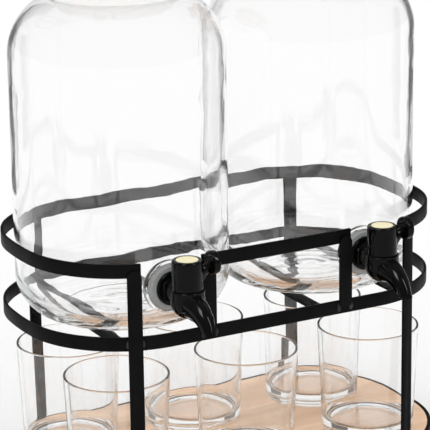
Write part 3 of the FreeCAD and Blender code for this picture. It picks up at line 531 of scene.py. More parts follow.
def lathe(name, outline, origin, steps=96, axis="Z"):
    """Spin an outline of (r, h) points in millimetres round an axis through origin."""
    points = tidy_points(outline)
    if axis == "Z":
        spots = [Vector((r, 0, h)) for r, h in points]
        direction = (0, 0, 1)
    else:
        spots = [Vector((r, h, 0)) for r, h in points]
        direction = (0, 1, 0)
    origin = Vector(origin)
    deselect()
    bpy.ops.mesh.primitive_plane_add(size=0.001, location=(0, 0, 0))
    piece = bpy.context.object
    piece.name = piece.data.name = name
    bpy.ops.object.mode_set(mode="EDIT")
    bpy.ops.mesh.select_all(action="SELECT")
    bpy.ops.mesh.merge(type="CENTER")
    bpy.ops.transform.translate(value=origin + spots[0])
    for before, here in zip(spots, spots[1:]):
        bpy.ops.mesh.extrude_region_move(TRANSFORM_OT_translate={"value": here - before})
    bpy.ops.mesh.select_all(action="SELECT")
    bpy.ops.mesh.spin(steps=steps, angle=math.tau, center=origin, axis=direction)
    bpy.ops.mesh.select_all(action="SELECT")
    bpy.ops.mesh.remove_doubles(threshold=1e-6)
    bpy.ops.mesh.normals_make_consistent(inside=False)
    bpy.ops.object.mode_set(mode="OBJECT")
    return piece


def pick(piece, kind, test):
    """Select the vertices, edges or faces whose middle passes a test, and stay in edit mode."""
    make_active(piece)
    bpy.ops.object.mode_set(mode="EDIT")
    bpy.ops.mesh.select_mode(type=kind)
    bpy.ops.mesh.select_all(action="DESELECT")
    bpy.ops.object.mode_set(mode="OBJECT")
    mesh = piece.data
    if kind == "VERT":
        for vertex in mesh.vertices:
            vertex.select = test(vertex.co)
    elif kind == "EDGE":
        for edge in mesh.edges:
            first, second = (mesh.vertices[i].co for i in edge.vertices)
            edge.select = test((first + second) / 2)
    else:
        for face in mesh.polygons:
            face.select = test(face.center)
    bpy.ops.object.mode_set(mode="EDIT")


def apply_modifier(piece, kind, **settings):
    make_active(piece)
    modifier = piece.modifiers.new(kind.title(), kind)
    for key, value in settings.items():
        setattr(modifier, key, value)
    bpy.ops.object.modifier_apply(modifier=modifier.name)


def combine(piece, other, operation):
    """Join, cut or intersect a piece with another, which is used up."""
    apply_modifier(piece, "BOOLEAN", operation=operation, object=other, solver="EXACT")
    bpy.data.objects.remove(other)


def smooth(piece, angle=35):
    make_active(piece)
    bpy.ops.object.shade_smooth_by_angle(angle=math.radians(angle))


def finish_piece(piece, body, node, finish):
    """Smooth shading done, a piece gets its finish, its body and the node that it stands for."""
    piece.data.materials.clear()
    piece.data.materials.append(finish)
    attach(piece, body)
    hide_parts(node)
    return piece


def copy_piece(piece, name, shift):
    """A second piece with a mesh of its own, moved inside its mesh."""
    twin = piece.copy()
    twin.data = piece.data.copy()
    twin.name = twin.data.name = name
    scene.collection.objects.link(twin)
    twin.data.transform(Matrix.Translation(shift))
    return twin


print("shaping helpers ready")

# %% [markdown]
# ## The stand
# The stand is flat bar, 10 mm wide and 2 mm thick, bent and welded. Rolled bar never has knife
# edges, and the powder rounds them further. Each bar is copied from the frame, its loose triangles
# are merged into one skin, and a narrow bevel rounds every sharp edge, so that edges catch light.


# %% Bars with rounded edges
def soften_bar(node, width, steps=2):
    source = frame["nodes"][node]
    piece = source.copy()
    piece.data = source.data.copy()
    piece.parent = None
    for key in list(piece.keys()):
        del piece[key]
    piece.name = piece.data.name = f"{node}_metal"
    scene.collection.objects.link(piece)
    make_active(piece)
    bpy.ops.object.mode_set(mode="EDIT")
    bpy.ops.mesh.select_all(action="SELECT")
    bpy.ops.mesh.customdata_custom_splitnormals_clear()
    bpy.ops.mesh.remove_doubles(threshold=2e-6)
    bpy.ops.mesh.dissolve_limited(angle_limit=math.radians(0.4))
    bpy.ops.object.mode_set(mode="OBJECT")
    apply_modifier(piece, "BEVEL", width=width, segments=steps, limit_method="ANGLE",
                   angle_limit=math.radians(50), harden_normals=False)
    smooth(piece, 40)
    return finish_piece(piece, "stand", node, black_coat)


BAR_EDGE = 0.35 * MM
bar_nodes = [name for name in node_names if name.endswith(("hoop", "post", "upright", "strap"))]
bar_nodes += ["top_front_bar", "base_rim"]
for name in bar_nodes:
    bar = soften_bar(name, BAR_EDGE)
    print(name, "has", len(bar.data.polygons), "faces")

# %% [markdown]
# ### Weld beads
# A bead is a small lump of metal that flowed beside each upright and froze there. A ball is squashed
# against the bar and roughened by a cloud pattern, and the same ball is copied to each crossing and
# turned to face outwards.

# %% Weld beads
BEAD = Vector((1.7, 1.5, 3.3)) * MM
HOOP_MIDDLE = middle("lower_hoop").z
clouds = bpy.data.textures.new("weld_clouds", "CLOUDS")
clouds.noise_scale = 0.0022


def bead_spots():
    """Both edges of every bar that stands in front of the lower hoop."""
    spots = []
    uprights = [name for name in node_names if name.endswith(("post", "upright"))]
    for name in uprights:
        low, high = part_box(name)
        centre = (low + high) / 2
        outward = Vector((0, math.copysign(1, centre.y), 0))
        if name.endswith("post"):
            outward = Vector((math.copysign(POST_LEAN[0], centre.x), math.copysign(POST_LEAN[1], centre.y), 0))
        along = Vector((-outward.y, outward.x, 0))
        inner_face = centre - outward * 1.0 * MM
        for side in (-1, 1):
            spots.append((inner_face + along * side * 5.0 * MM, outward))
    return spots


POST_LEAN = (math.cos(math.radians(70)), math.sin(math.radians(70)))
beads = []
for index, (spot, outward) in enumerate(bead_spots()):
    deselect()
    bpy.ops.mesh.primitive_ico_sphere_add(subdivisions=4, radius=1, location=(0, 0, 0))
    bead = bpy.context.object
    turn = math.atan2(outward.y, outward.x) - math.pi / 2
    size = Matrix.Diagonal((*BEAD, 1))
    bead.data.transform(Matrix.Rotation(turn, 4, "Z") @ size)
    bead.data.transform(Matrix.Translation((spot.x, spot.y, HOOP_MIDDLE)))
    beads.append(bead)
deselect()
for bead in beads:
    bead.select_set(True)
bpy.context.view_layer.objects.active = beads[0]
bpy.ops.object.join()
beads = bpy.context.object
beads.name = beads.data.name = "weld_beads_metal"
apply_modifier(beads, "DISPLACE", texture=clouds, strength=0.5 * MM, mid_level=0.75,
               texture_coords="LOCAL")
smooth(beads, 60)
finish_piece(beads, "stand", "weld_beads", weld_coat)
print("weld beads:", len(beads.data.polygons), "faces")

# %% [markdown]
# ### Wooden base and its screws
# The plank's own solid is right, so it only takes its finish. The four screws are turned from their
# outline, and a cross is cut into each head, because a bare dome reads as a rivet.

# %% Wooden base
wood_node = frame["nodes"]["wood_base"]
wood_node.data.materials.clear()
wood_node.data.materials.append(base_wood)
print("base plank", [round(side / MM) for side in extent("wood_base")], "mm")


# %% Screws
def cross_cutter(radius, depth, width):
    """A thin plus sign along X, to press the drive recess into a screw's head."""
    bpy.ops.mesh.primitive_cube_add(size=1, location=(0, 0, 0))
    cutter = bpy.context.object
    cutter.data.transform(Matrix.Diagonal((depth, radius * 2, width, 1)))
    bpy.ops.mesh.primitive_cube_add(size=1, location=(0, 0, 0))
    other = bpy.context.object
    other.data.transform(Matrix.Diagonal((depth, width, radius * 2, 1)))
    combine(cutter, other, "UNION")
    return cutter


def base_screw(index, centre, outward):
    """A round head whose shank points inwards, modelled along Y and then turned to face outwards."""
    outline = [(0, -12.0)] + [(1.5, -10.0), (1.5, 0), (3.0, 0)] + arc(0, -1.6, 3.4, 28, 90, 6)
    screw = lathe(f"base_screw_{index}", outline, (0, 0, 0), 40, "Y")
    cutter = cross_cutter(1.7 * MM, 1.6 * MM, 0.55 * MM)
    cutter.data.transform(Matrix.Rotation(math.pi / 2, 4, "Z"))
    cutter.data.transform(Matrix.Translation((0, 1.9 * MM, 0)))
    combine(screw, cutter, "DIFFERENCE")
    turn = math.atan2(outward.y, outward.x) - math.pi / 2
    screw.data.transform(Matrix.Translation(centre) @ Matrix.Rotation(turn, 4, "Z"))
    return screw


SCREW_LEVEL = middle("base_screws").z
RIM_REACH = 4.8 * MM
screws = []
for index, name in enumerate(name for name in node_names if name.endswith("post")):
    centre = middle(name)
    outward = Vector((math.copysign(POST_LEAN[0], centre.x), math.copysign(POST_LEAN[1], centre.y), 0))
    foot = Vector((centre.x, centre.y, SCREW_LEVEL)) + outward * (RIM_REACH - 1.0 * MM)
    screws.append(base_screw(index, foot, outward))
deselect()
for screw in screws:
    screw.select_set(True)
bpy.context.view_layer.objects.active = screws[0]
bpy.ops.object.join()
screws = bpy.context.object
screws.name = screws.data.name = "base_screws_steel"
smooth(screws, 30)
finish_piece(screws, "stand", "base_screws", steel)
print("screws:", len(screws.data.polygons), "faces")

# %% [markdown]
# ## The jars
# A jar is blown into a mould: the outside is smooth, and the inside follows the breath, thicker at
# the foot and wavy all over. So the outside and the inside are one outline, spun once, and only the
# inside is then pushed about by a cloud pattern, through a vertex group. A small round flat for the
# tap is ground into the front, as the boolean modifier does it here, and a hole goes through it.

# %% Jar outline
JAR_MIDDLE = middle("left_jar")
JAR_LOW, JAR_HIGH = (corner.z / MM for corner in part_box("left_jar"))
JAR_RADIUS = extent("left_jar").x / 2 / MM
WALL = 3.5
HEEL = 30.0
SHOULDER = 43.0
NECK_RADIUS = 47.0
RIM_BEAD = 2.2
FLOOR = JAR_LOW + 6.0
PUNT = 2.6


def jar_outline():
    """From the middle of the underside, up the outside, over the rim and down the inside."""
    arc_r = JAR_RADIUS - SHOULDER
    neck_turn = math.degrees(math.acos((NECK_RADIUS - arc_r) / SHOULDER))
    bore = NECK_RADIUS - WALL
    bore_turn = math.degrees(math.acos((bore - arc_r) / (SHOULDER - WALL)))
    level = JAR_HIGH - 20.0 - SHOULDER * math.sin(math.radians(neck_turn))
    foot = JAR_RADIUS - HEEL
    points = [(0, JAR_LOW + PUNT)] + line((6, JAR_LOW + PUNT), (foot - 12, JAR_LOW + 0.7), 8)
    points += arc(foot - 5, JAR_LOW + 5, 5, 235, 270, 4)
    points += arc(foot, JAR_LOW + HEEL, HEEL, -90, 0, 22)
    points += line((JAR_RADIUS, JAR_LOW + HEEL), (JAR_RADIUS, level), 20)
    points += arc(arc_r, level, SHOULDER, 0, neck_turn, 20)
    points += line((NECK_RADIUS, JAR_HIGH - 19), (NECK_RADIUS, JAR_HIGH - RIM_BEAD * 2), 6)
    points += arc(NECK_RADIUS, JAR_HIGH - RIM_BEAD, RIM_BEAD, -90, 90, 12)
    points += [(bore + 0.6, JAR_HIGH)] + arc(bore + 0.6, JAR_HIGH - 0.6, 0.6, 90, 180, 3)
    points += line((bore, JAR_HIGH - 2), (bore, JAR_HIGH - 18), 6)
    points += arc(arc_r, level, SHOULDER - WALL, bore_turn, 0, 20)
    points += line((JAR_RADIUS - WALL, level), (JAR_RADIUS - WALL, FLOOR + HEEL - WALL), 36)
    points += arc(foot, FLOOR + HEEL - WALL, HEEL - WALL, 0, -90, 20)
    for step in range(1, 13):
        r = foot * (1 - step / 12)
        points.append((r, FLOOR + 1.6 * (1 - r / foot) ** 1.5 + 0.25 * math.sin(r * 0.55)))
    points[-1] = (0, points[-1][1])
    return points


print("jar outline has", len(jar_outline()), "points, wall", WALL, "mm")

# %% Blow the left jar
JAR_STEPS = 180
jar = lathe("left_jar_glass", jar_outline(), (JAR_MIDDLE.x, 0, 0), JAR_STEPS)
breath = bpy.data.textures.new("breath_clouds", "CLOUDS")
breath.noise_scale = 0.026
breath.noise_depth = 1
inside = jar.vertex_groups.new(name="inside")
mid_wall = (JAR_RADIUS - WALL / 2) * MM


def is_inside(spot):
    """True for a point of the inner skin, away from the neck's rim and the tap."""
    r = math.hypot(spot.x - JAR_MIDDLE.x, spot.y)
    on_wall = r < mid_wall and spot.z > (JAR_LOW + HEEL) * MM and spot.z < 0.31
    near_tap = math.hypot(spot.x - JAR_MIDDLE.x, spot.z - TAP_LEVEL) < 0.024 and spot.y < 0
    return on_wall and not near_tap


TAP_LEVEL = middle("left_tap_gasket").z
heel_centre_r = (JAR_RADIUS - HEEL) * MM
heel_centre_z = (JAR_LOW + HEEL) * MM
chosen = []
for vertex in jar.data.vertices:
    spot = vertex.co
    r = math.hypot(spot.x - JAR_MIDDLE.x, spot.y)
    in_heel = spot.z <= heel_centre_z
    from_heel = math.hypot(max(r - heel_centre_r, 0), spot.z - heel_centre_z)
    floor_side = in_heel and (from_heel < (HEEL - WALL / 2) * MM or (r < heel_centre_r and spot.z > (FLOOR - 1) * MM))
    if is_inside(spot) or floor_side:
        chosen.append(vertex.index)
inside.add(chosen, 1.0, "REPLACE")
apply_modifier(jar, "DISPLACE", texture=breath, strength=0.4 * MM, mid_level=0.5,
               texture_coords="LOCAL", vertex_group="inside")
print("jar has", len(jar.data.vertices), "vertices,", len(chosen), "of them inside")


# %% Ground flat and hole for the tap
def round_bar(name, centre, radius, start, stop, sides=72):
    """A rod along Y from start to stop, for cutting and filling."""
    deselect()
    bpy.ops.mesh.primitive_cylinder_add(vertices=sides, radius=radius, depth=stop - start,
                                        location=(0, 0, 0))
    rod = bpy.context.object
    rod.name = name
    rod.data.transform(Matrix.Rotation(math.pi / 2, 4, "X"))
    rod.data.transform(Matrix.Translation((centre.x, (start + stop) / 2, centre.z)))
    return rod


SEAT_RADIUS, SEAT_HOLE = 18.6 * MM, 8.25 * MM
SEAT_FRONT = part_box("left_tap_gasket")[1].y
SEAT_BACK = SEAT_FRONT + 4.5 * MM
tap_centre = middle("left_tap_gasket")
combine(jar, round_bar("seat_fill", tap_centre, SEAT_RADIUS, SEAT_FRONT - 1.2 * MM, SEAT_BACK), "UNION")
combine(jar, round_bar("seat_cut", tap_centre, SEAT_RADIUS, SEAT_FRONT - 8 * MM, SEAT_FRONT), "DIFFERENCE")
combine(jar, round_bar("seat_bore", tap_centre, SEAT_HOLE, SEAT_FRONT - 8 * MM, SEAT_BACK + 4 * MM),
        "DIFFERENCE")
smooth(jar, 32)
print("jar with its tap seat:", len(jar.data.polygons), "faces")

# %% Second jar
TWIN_SHIFT = Vector((middle("right_jar").x - middle("left_jar").x, 0, 0))
jar_twin = copy_piece(jar, "right_jar_glass", TWIN_SHIFT)
finish_piece(jar, "left_jar", "left_jar", jar_glass)
finish_piece(jar_twin, "right_jar", "right_jar", jar_glass)
print("jars stand", round(TWIN_SHIFT.x / MM, 1), "mm apart")

# %% [markdown]
# ## The taps
# A tap is a fixed body with a stem that goes through the jar's wall, and a turning handle whose plug
# sits in the body like a cork. Turned parts come from the lathe again, the spout is a circle that is
# extruded along its bend while it shrinks, and the parts are joined into one moulding.

# %% Tap frame
TAP = Vector((tap_centre.x, middle("left_tap_disc").y, tap_centre.z))
HEAD_TOP = (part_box("left_tap_disc")[1].z - TAP.z) / MM
FLANGE_BACK = (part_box("left_tap_gasket")[0].y - TAP.y) / MM
STEM_END = (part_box("left_tap_body")[1].y - TAP.y) / MM
BARREL, BARREL_LOW, SHOULDER_LEVEL = 11.9, -15.0, 5.5
COLLAR, COLLAR_TOP = 8.9, 10.8
FLANGE, STEM, STEM_BORE, VALVE_BORE = 12.2, 8.0, 4.0, 6.05
print("tap axis at", [round(x / MM, 1) for x in TAP], "head top", round(HEAD_TOP, 1))


# %% Tap body: stem, flange and barrel
def thread(start, stop, crest, depth, pitch):
    """A zigzag of points along a screw's side, from start down or up to stop."""
    count = round(abs(stop - start) / pitch)
    points = []
    for ridge in range(count):
        low = start + (stop - start) * ridge / count
        mid = start + (stop - start) * (ridge + 0.5) / count
        points += [(crest - depth, low), (crest, mid)]
    return points + [(crest - depth, stop)]


def tap_stem():
    outline = [(0, 4), (0, STEM_END), (STEM - 0.9, STEM_END), (STEM - 0.5, STEM_END - 0.5)]
    outline += thread(STEM_END - 1, FLANGE_BACK + 4, STEM, 0.55, 1.3)
    outline += [(STEM - 0.1, FLANGE_BACK + 3.5), (STEM - 0.1, FLANGE_BACK)]
    outline += arc(FLANGE - 0.5, FLANGE_BACK - 0.5, 0.5, 90, 0, 4)
    outline += arc(FLANGE - 1.0, FLANGE_BACK - 2.0, 1.0, 0, -90, 6)
    outline += [(8.9, FLANGE_BACK - 3), (8.6, FLANGE_BACK - 3.3), (8.6, 4), (0, 4)]
    return lathe("left_tap_body_moulding", outline, TAP, 72, "Y")


def tap_barrel():
    cap = (BARREL ** 2 + (BARREL_LOW + 4) ** 2) / (-2 * (BARREL_LOW + 4))
    rise = math.degrees(math.atan2(-4 - (BARREL_LOW + cap), BARREL))
    outline = [(0, BARREL_LOW)] + arc(0, BARREL_LOW + cap, cap, -88, rise, 16)
    outline += arc(BARREL - 0.8, SHOULDER_LEVEL - 0.8, 0.8, 0, 90, 5)
    outline += [(COLLAR, SHOULDER_LEVEL), (COLLAR, COLLAR_TOP - 0.3), (COLLAR - 0.3, COLLAR_TOP)]
    return lathe("barrel", outline + [(0, COLLAR_TOP)], TAP, 96)


def hexagon(name, centre_y, thick, corner, edge):
    """A six-sided block round the stem, with one corner up and its edges bevelled."""
    deselect()
    bpy.ops.mesh.primitive_cylinder_add(vertices=6, radius=corner * MM, depth=thick * MM)
    block = bpy.context.object
    block.name = block.data.name = name
    block.data.transform(Matrix.Rotation(math.pi / 2, 4, "X"))
    block.data.transform(Matrix.Translation((TAP.x, TAP.y + centre_y * MM, TAP.z)))
    apply_modifier(block, "BEVEL", width=edge * MM, segments=2, limit_method="ANGLE",
                   angle_limit=math.radians(30))
    return block


HEX_CORNER, HEX_THICK = 10.6, 3.4
tap_body = tap_stem()
combine(tap_body, tap_barrel(), "UNION")
combine(tap_body, hexagon("spanner_faces", FLANGE_BACK - 3 - HEX_THICK / 2 + 0.2,
                          HEX_THICK + 0.4, HEX_CORNER, 0.3), "UNION")
print("stem, flange and barrel:", len(tap_body.data.polygons), "faces")

# %% Spout
SPOUT_LEVEL, SPOUT_REACH, SPOUT_BEND, SPOUT_END = -4.2, 8.0, 25.0, -18.0
SPOUT_ROOT, SPOUT_TIP, SPOUT_WALL, EARLY_TAPER = 9.6, 4.9, 1.6, 0.12
SPOUT_TURN, SPOUT_STEPS = math.radians(60), 10


def spout(name, start, wall):
    """Extrude a circle along the spout's bend. It shrinks from root to tip and turns down."""
    stations = [(start, SPOUT_LEVEL, 0, SPOUT_ROOT - wall)]
    for step in range(SPOUT_STEPS + 1):
        turn = SPOUT_TURN * step / SPOUT_STEPS
        taper = EARLY_TAPER + (1 - EARLY_TAPER) * step / SPOUT_STEPS
        stations.append((-SPOUT_REACH - SPOUT_BEND * math.sin(turn),
                         SPOUT_LEVEL - SPOUT_BEND * (1 - math.cos(turn)), turn,
                         SPOUT_ROOT - (SPOUT_ROOT - SPOUT_TIP) * taper - wall))
    y, z, turn, radius = stations[-1]
    stations.append((y - SPOUT_TIP * 2 * math.cos(turn), z - SPOUT_TIP * 2 * math.sin(turn), turn, radius))
    deselect()
    y, z, turn, radius = stations[0]
    place = TAP + Vector((0, y, z)) * MM
    bpy.ops.mesh.primitive_circle_add(vertices=56, radius=radius * MM, fill_type="NGON",
                                      location=(0, 0, 0))
    tube = bpy.context.object
    tube.name = tube.data.name = name
    tube.data.transform(Matrix.Translation(place) @ Matrix.Rotation(math.pi / 2, 4, "X"))
    bpy.ops.object.mode_set(mode="EDIT")
    bpy.ops.mesh.select_all(action="SELECT")
    for before, here in zip(stations, stations[1:]):
        step = Vector((0, here[0] - before[0], here[1] - before[1])) * MM
        place = TAP + Vector((0, here[0], here[1])) * MM
        bpy.ops.mesh.extrude_region_move(TRANSFORM_OT_translate={"value": step})
        if here[2] != before[2]:
            bpy.ops.transform.rotate(value=before[2] - here[2], orient_axis="X",
                                     orient_type="GLOBAL", center_override=place)
        scale = here[3] / before[3]
        bpy.ops.transform.resize(value=(scale, scale, scale), center_override=place)
    bpy.ops.mesh.select_all(action="SELECT")
    bpy.ops.mesh.normals_make_consistent(inside=False)
    bpy.ops.object.mode_set(mode="OBJECT")
    return tube


def below_mouth(level):
    """A block below a level, in front of the barrel, that cuts the spout's mouth flat."""
    bpy.ops.mesh.primitive_cube_add(size=0.05, location=(0, 0, 0))
    block = bpy.context.object
    block.data.transform(Matrix.Translation(TAP + Vector((0, -0.03, level * MM - 0.025))))
    return block


tube = spout("spout", -1, 0)
combine(tube, below_mouth(SPOUT_END), "DIFFERENCE")
apply_modifier(tube, "BEVEL", width=0.45 * MM, segments=3, limit_method="ANGLE",
               angle_limit=math.radians(40))
combine(tap_body, tube, "UNION")
room = [(COLLAR, SHOULDER_LEVEL), (BARREL, SHOULDER_LEVEL), (BARREL, 12), (COLLAR, 12),
        (COLLAR, SHOULDER_LEVEL)]
combine(tap_body, lathe("head_room", room, TAP, 96), "DIFFERENCE")
print("spout joined:", len(tap_body.data.polygons), "faces")

# %% Bores of the tap
valve = lathe("valve_bore", [(0, -9), (VALVE_BORE, -9), (VALVE_BORE, 12), (0, 12)], TAP, 72)
combine(tap_body, valve, "DIFFERENCE")
stem_bore = lathe("stem_bore", [(0, 2), (STEM_BORE, 2), (STEM_BORE, STEM_END + 1), (0, STEM_END + 1)],
                  TAP, 48, "Y")
combine(tap_body, stem_bore, "DIFFERENCE")
combine(tap_body, spout("spout_bore", -4, SPOUT_WALL), "DIFFERENCE")
smooth(tap_body, 38)
print("tap body with bores:", len(tap_body.data.polygons), "faces")

# %% [markdown]
# The handle's head is a cap over the body's collar. Its lever is turned upright, pressed flatter
# where it meets the head, tipped to its real slope and then joined. The knob at its end is a thick
# coin that stands upright, and a finger only ever pushes on its edge.

# %% Tap handle
HEAD, HEAD_LOW, HEAD_ROUND = 10.7, 5.7, 1.6
SKIRT, SKIRT_TOP, PLUG, PLUG_LOW = 9.1, 11.0, 6.0, -8.6
DISC, DISC_THICK = 7.7, 0.8
ARM_ROOT, ARM_LEVEL, ARM_SLOPE = 5.0, 13.0, 27.0
ARM_FOOT, ARM_RADIUS, ARM_LENGTH = 6.0, 3.7, 15.5
KNOB_LEVEL, KNOB_BACK, KNOB, KNOB_THICK = 21.4, 16.8, 8.2, 5.4
RING_LEVEL, RING_WIRE, GROOVE = 6.5, 0.9, 1.1


def tap_head():
    outline = [(0, PLUG_LOW), (PLUG - 0.3, PLUG_LOW), (PLUG, PLUG_LOW + 0.3)]
    outline += [(PLUG, RING_LEVEL - GROOVE), (PLUG - 1.8, RING_LEVEL - GROOVE)]
    outline += [(PLUG - 1.8, RING_LEVEL + GROOVE), (PLUG, RING_LEVEL + GROOVE), (PLUG, SKIRT_TOP)]
    outline += [(SKIRT, SKIRT_TOP), (SKIRT, HEAD_LOW + 0.2), (SKIRT + 0.2, HEAD_LOW)]
    outline += arc(HEAD - 0.4, HEAD_LOW + 0.4, 0.4, -90, 0, 4)
    outline += arc(HEAD - HEAD_ROUND, HEAD_TOP - HEAD_ROUND, HEAD_ROUND, 0, 90, 8)
    recess = DISC + 0.15
    outline += [(recess + 0.25, HEAD_TOP), (recess, HEAD_TOP - 0.25), (recess, HEAD_TOP - DISC_THICK)]
    return lathe("left_tap_handle_moulding", outline + [(0, HEAD_TOP - DISC_THICK)], TAP, 96)


def tap_knob():
    """A thick coin on end. Its outer face is rounder at the edge than the face towards the arm."""
    outline = [(0, 0), (KNOB - 1.3, 0)] + arc(KNOB - 1.0, 1.0, 1.0, -80, 0, 5)
    outline += arc(KNOB - 1.4, KNOB_THICK - 1.4, 1.4, 0, 84, 6) + [(0, KNOB_THICK)]
    coin = lathe("knob", outline, (0, 0, 0), 80)
    spot = TAP + Vector((KNOB_BACK, 0, KNOB_LEVEL)) * MM
    coin.data.transform(Matrix.Translation(spot) @ Matrix.Rotation(math.pi / 2, 4, "Y"))
    return coin


def tap_lever():
    """The lever is turned along Z at the origin. A finished one is tipped and set in its place."""
    outline = [(0, 0), (ARM_FOOT - 0.1, 0), (ARM_FOOT - 0.1, 4.6), (ARM_FOOT - 0.7, 5.8)]
    outline += [(ARM_RADIUS + 0.6, 8.0), (ARM_RADIUS - 0.1, 9.8), (ARM_RADIUS - 0.1, 12.0)]
    outline += [(ARM_RADIUS - 0.1, ARM_LENGTH), (0, ARM_LENGTH)]
    lever = lathe("lever", outline, (0, 0, 0), 64)
    pick(lever, "VERT", lambda spot: True)
    bpy.ops.transform.resize(value=(1, 0.74, 1), center_override=(0, 0, 0))
    bpy.ops.object.mode_set(mode="OBJECT")
    root = TAP + Vector((ARM_ROOT, 0, ARM_LEVEL)) * MM
    tip_over = Matrix.Rotation(math.radians(90 - ARM_SLOPE), 4, "Y")
    lever.data.transform(Matrix.Translation(root) @ tip_over)
    return lever


tap_handle = tap_head()
lever = tap_lever()
combine(lever, tap_knob(), "UNION")
cavity = lathe("skirt_room", [(0, -12), (SKIRT, -12), (SKIRT, SKIRT_TOP), (0, SKIRT_TOP)], TAP, 96)
combine(lever, cavity, "DIFFERENCE")
combine(tap_handle, lever, "UNION")
port = round_bar("port", TAP, 3.2 * MM, TAP.y - 8 * MM, TAP.y + 8 * MM, 40)
combine(tap_handle, port, "DIFFERENCE")
smooth(tap_handle, 38)
print("tap handle:", len(tap_handle.data.polygons), "faces")

# %% Disc, seal ring and washers
tap_disc = lathe("left_tap_disc_metal", [
    (0, HEAD_TOP - DISC_THICK), (DISC, HEAD_TOP - DISC_THICK), (DISC, HEAD_TOP - 0.2),
    (DISC - 0.2, HEAD_TOP), (DISC - 0.7, HEAD_TOP), (DISC - 0.95, HEAD_TOP - 0.22),
    (0, HEAD_TOP - 0.22)], TAP, 96)
smooth(tap_disc, 30)

deselect()
bpy.ops.mesh.primitive_torus_add(location=(0, 0, 0), major_segments=72, minor_segments=20,
                                 major_radius=(VALVE_BORE - RING_WIRE - 0.03) * MM,
                                 minor_radius=RING_WIRE * MM)
tap_ring = bpy.context.object
tap_ring.name = tap_ring.data.name = "left_tap_o_ring_rubber"
tap_ring.data.transform(Matrix.Translation(TAP + Vector((0, 0, RING_LEVEL * MM))))
smooth(tap_ring, 60)


def washer(name, hole, radius, start, stop, front_slope):
    """A soft ring round the stem. Its front edge may slope back, as if pressed."""
    edge = 0.5
    outline = [(hole, start + 0.3), (hole + 0.3, start), (radius - front_slope - edge, start)]
    outline += [(radius - front_slope * 0.9, start + 0.25 * edge), (radius - edge * 0.3, stop - 1.1)]
    outline += arc(radius - edge, stop - edge, edge, 0, 90, 4)
    outline += [(hole + 0.3, stop), (hole, stop - 0.3), (hole, start + 0.3)]
    ring = lathe(name, outline, TAP, 96, "Y")
    smooth(ring, 32)
    return ring


GASKET = extent("left_tap_gasket").x / 2 / MM
INNER_GASKET = extent("left_inner_gasket").x / 2 / MM
inner_low, inner_high = ((corner.y - TAP.y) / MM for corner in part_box("left_inner_gasket"))
tap_gasket = washer("left_tap_gasket_silicone", 8.1, GASKET, FLANGE_BACK, FLANGE_BACK + 3, 2.0)
inner_gasket = washer("left_inner_gasket_silicone", 8.1, INNER_GASKET, inner_low, inner_high, 0.5)
print("washers:", len(tap_gasket.data.polygons), "and", len(inner_gasket.data.polygons), "faces")

# %% Nut on the stem
nut_low, nut_high = ((corner.y - TAP.y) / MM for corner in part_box("left_tap_nut"))
NUT_CORNER = extent("left_tap_nut").x / 2 / MM
deselect()
bpy.ops.mesh.primitive_cylinder_add(vertices=6, radius=NUT_CORNER * MM,
                                    depth=(nut_high - nut_low) * MM)
nut = bpy.context.object
nut.name = nut.data.name = "left_tap_nut_moulding"
nut.data.transform(Matrix.Rotation(math.pi / 2, 4, "X") @ Matrix.Rotation(math.pi / 6, 4, "Z"))
nut.data.transform(Matrix.Translation((TAP.x, TAP.y + (nut_low + nut_high) / 2 * MM, TAP.z)))
chamfer = lathe("nut_chamfer", [
    (0, nut_low), (NUT_CORNER - 1.8, nut_low), (NUT_CORNER + 0.4, nut_low + 1.3),
    (NUT_CORNER + 0.4, nut_high - 1.3), (NUT_CORNER - 1.8, nut_high), (0, nut_high)], TAP, 72, "Y")
combine(nut, chamfer, "INTERSECT")
nut_bore = lathe("nut_bore", [(0, nut_low - 1), (8.1, nut_low - 1), (8.1, nut_high + 1),
                              (0, nut_high + 1)], TAP, 72, "Y")
combine(nut, nut_bore, "DIFFERENCE")
smooth(nut, 30)
print("nut:", len(nut.data.polygons), "faces")

# %% Finish the left tap and copy it to the right
disc_gold = {side: gold_disc(f"{side}_gold", middle(f"{side}_tap_disc")) for side in ("left", "right")}
tap_parts = [
    (tap_body, "jar", "tap_body", "tap_plastic", black_plastic),
    (tap_handle, "tap_handle", "tap_handle", "tap_plastic", black_plastic),
    (tap_disc, "tap_handle", "tap_disc", "gold_disc", None),
    (tap_ring, "tap_handle", "tap_o_ring", "dark_rubber", rubber),
    (tap_gasket, "jar", "tap_gasket", "silicone", silicone),
    (inner_gasket, "jar", "inner_gasket", "silicone", silicone),
    (nut, "jar", "tap_nut", "tap_plastic", black_plastic)]
for piece, body, node, slot, finish in tap_parts:
    twin = copy_piece(piece, piece.name.replace("left", "right"), TWIN_SHIFT)
    for side, part in (("left", piece), ("right", twin)):
        finish_piece(part, f"{side}_{body}", f"{side}_{node}", finish or disc_gold[side])
glossy = bpy.data.collections.new("tap_pieces")
for side in ("left", "right"):
    for piece in (tap_body, tap_handle):
        glossy.objects.link(bpy.data.objects[piece.name.replace("left", side)])
for light in (key_light, fill_light):
    light.light_linking.receiver_collection = glossy
print("two taps of", len(tap_parts), "pieces")

# %% [markdown]
# ## The lids
# A lid is turned from one disc of the same wood as the base. Its spigot drops into the jar's neck
# with a seal ring round it, and a screw from below holds the black knob. The grain runs straight
# across the disc, so it doesn't turn with the lathe.

# %% Lid
LID_FOOT = Vector((middle("left_lid").x, 0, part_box("left_jar")[1].z))
LID, LID_THICK, LID_ROUND = extent("left_lid").x / 2 / MM, 11.0, 3.0
SPIGOT, SPIGOT_DEPTH = 41.0, 9.0
SEAL_LOW, SEAL_HIGH, SEAL_INNER, SEAL = -6.0, -3.0, 38.6, extent("left_lid_seal").x / 2 / MM
SCREW_HOLE, HEAD_HOLE, SCREW_SEAT = 2.2, 4.4, -5.0

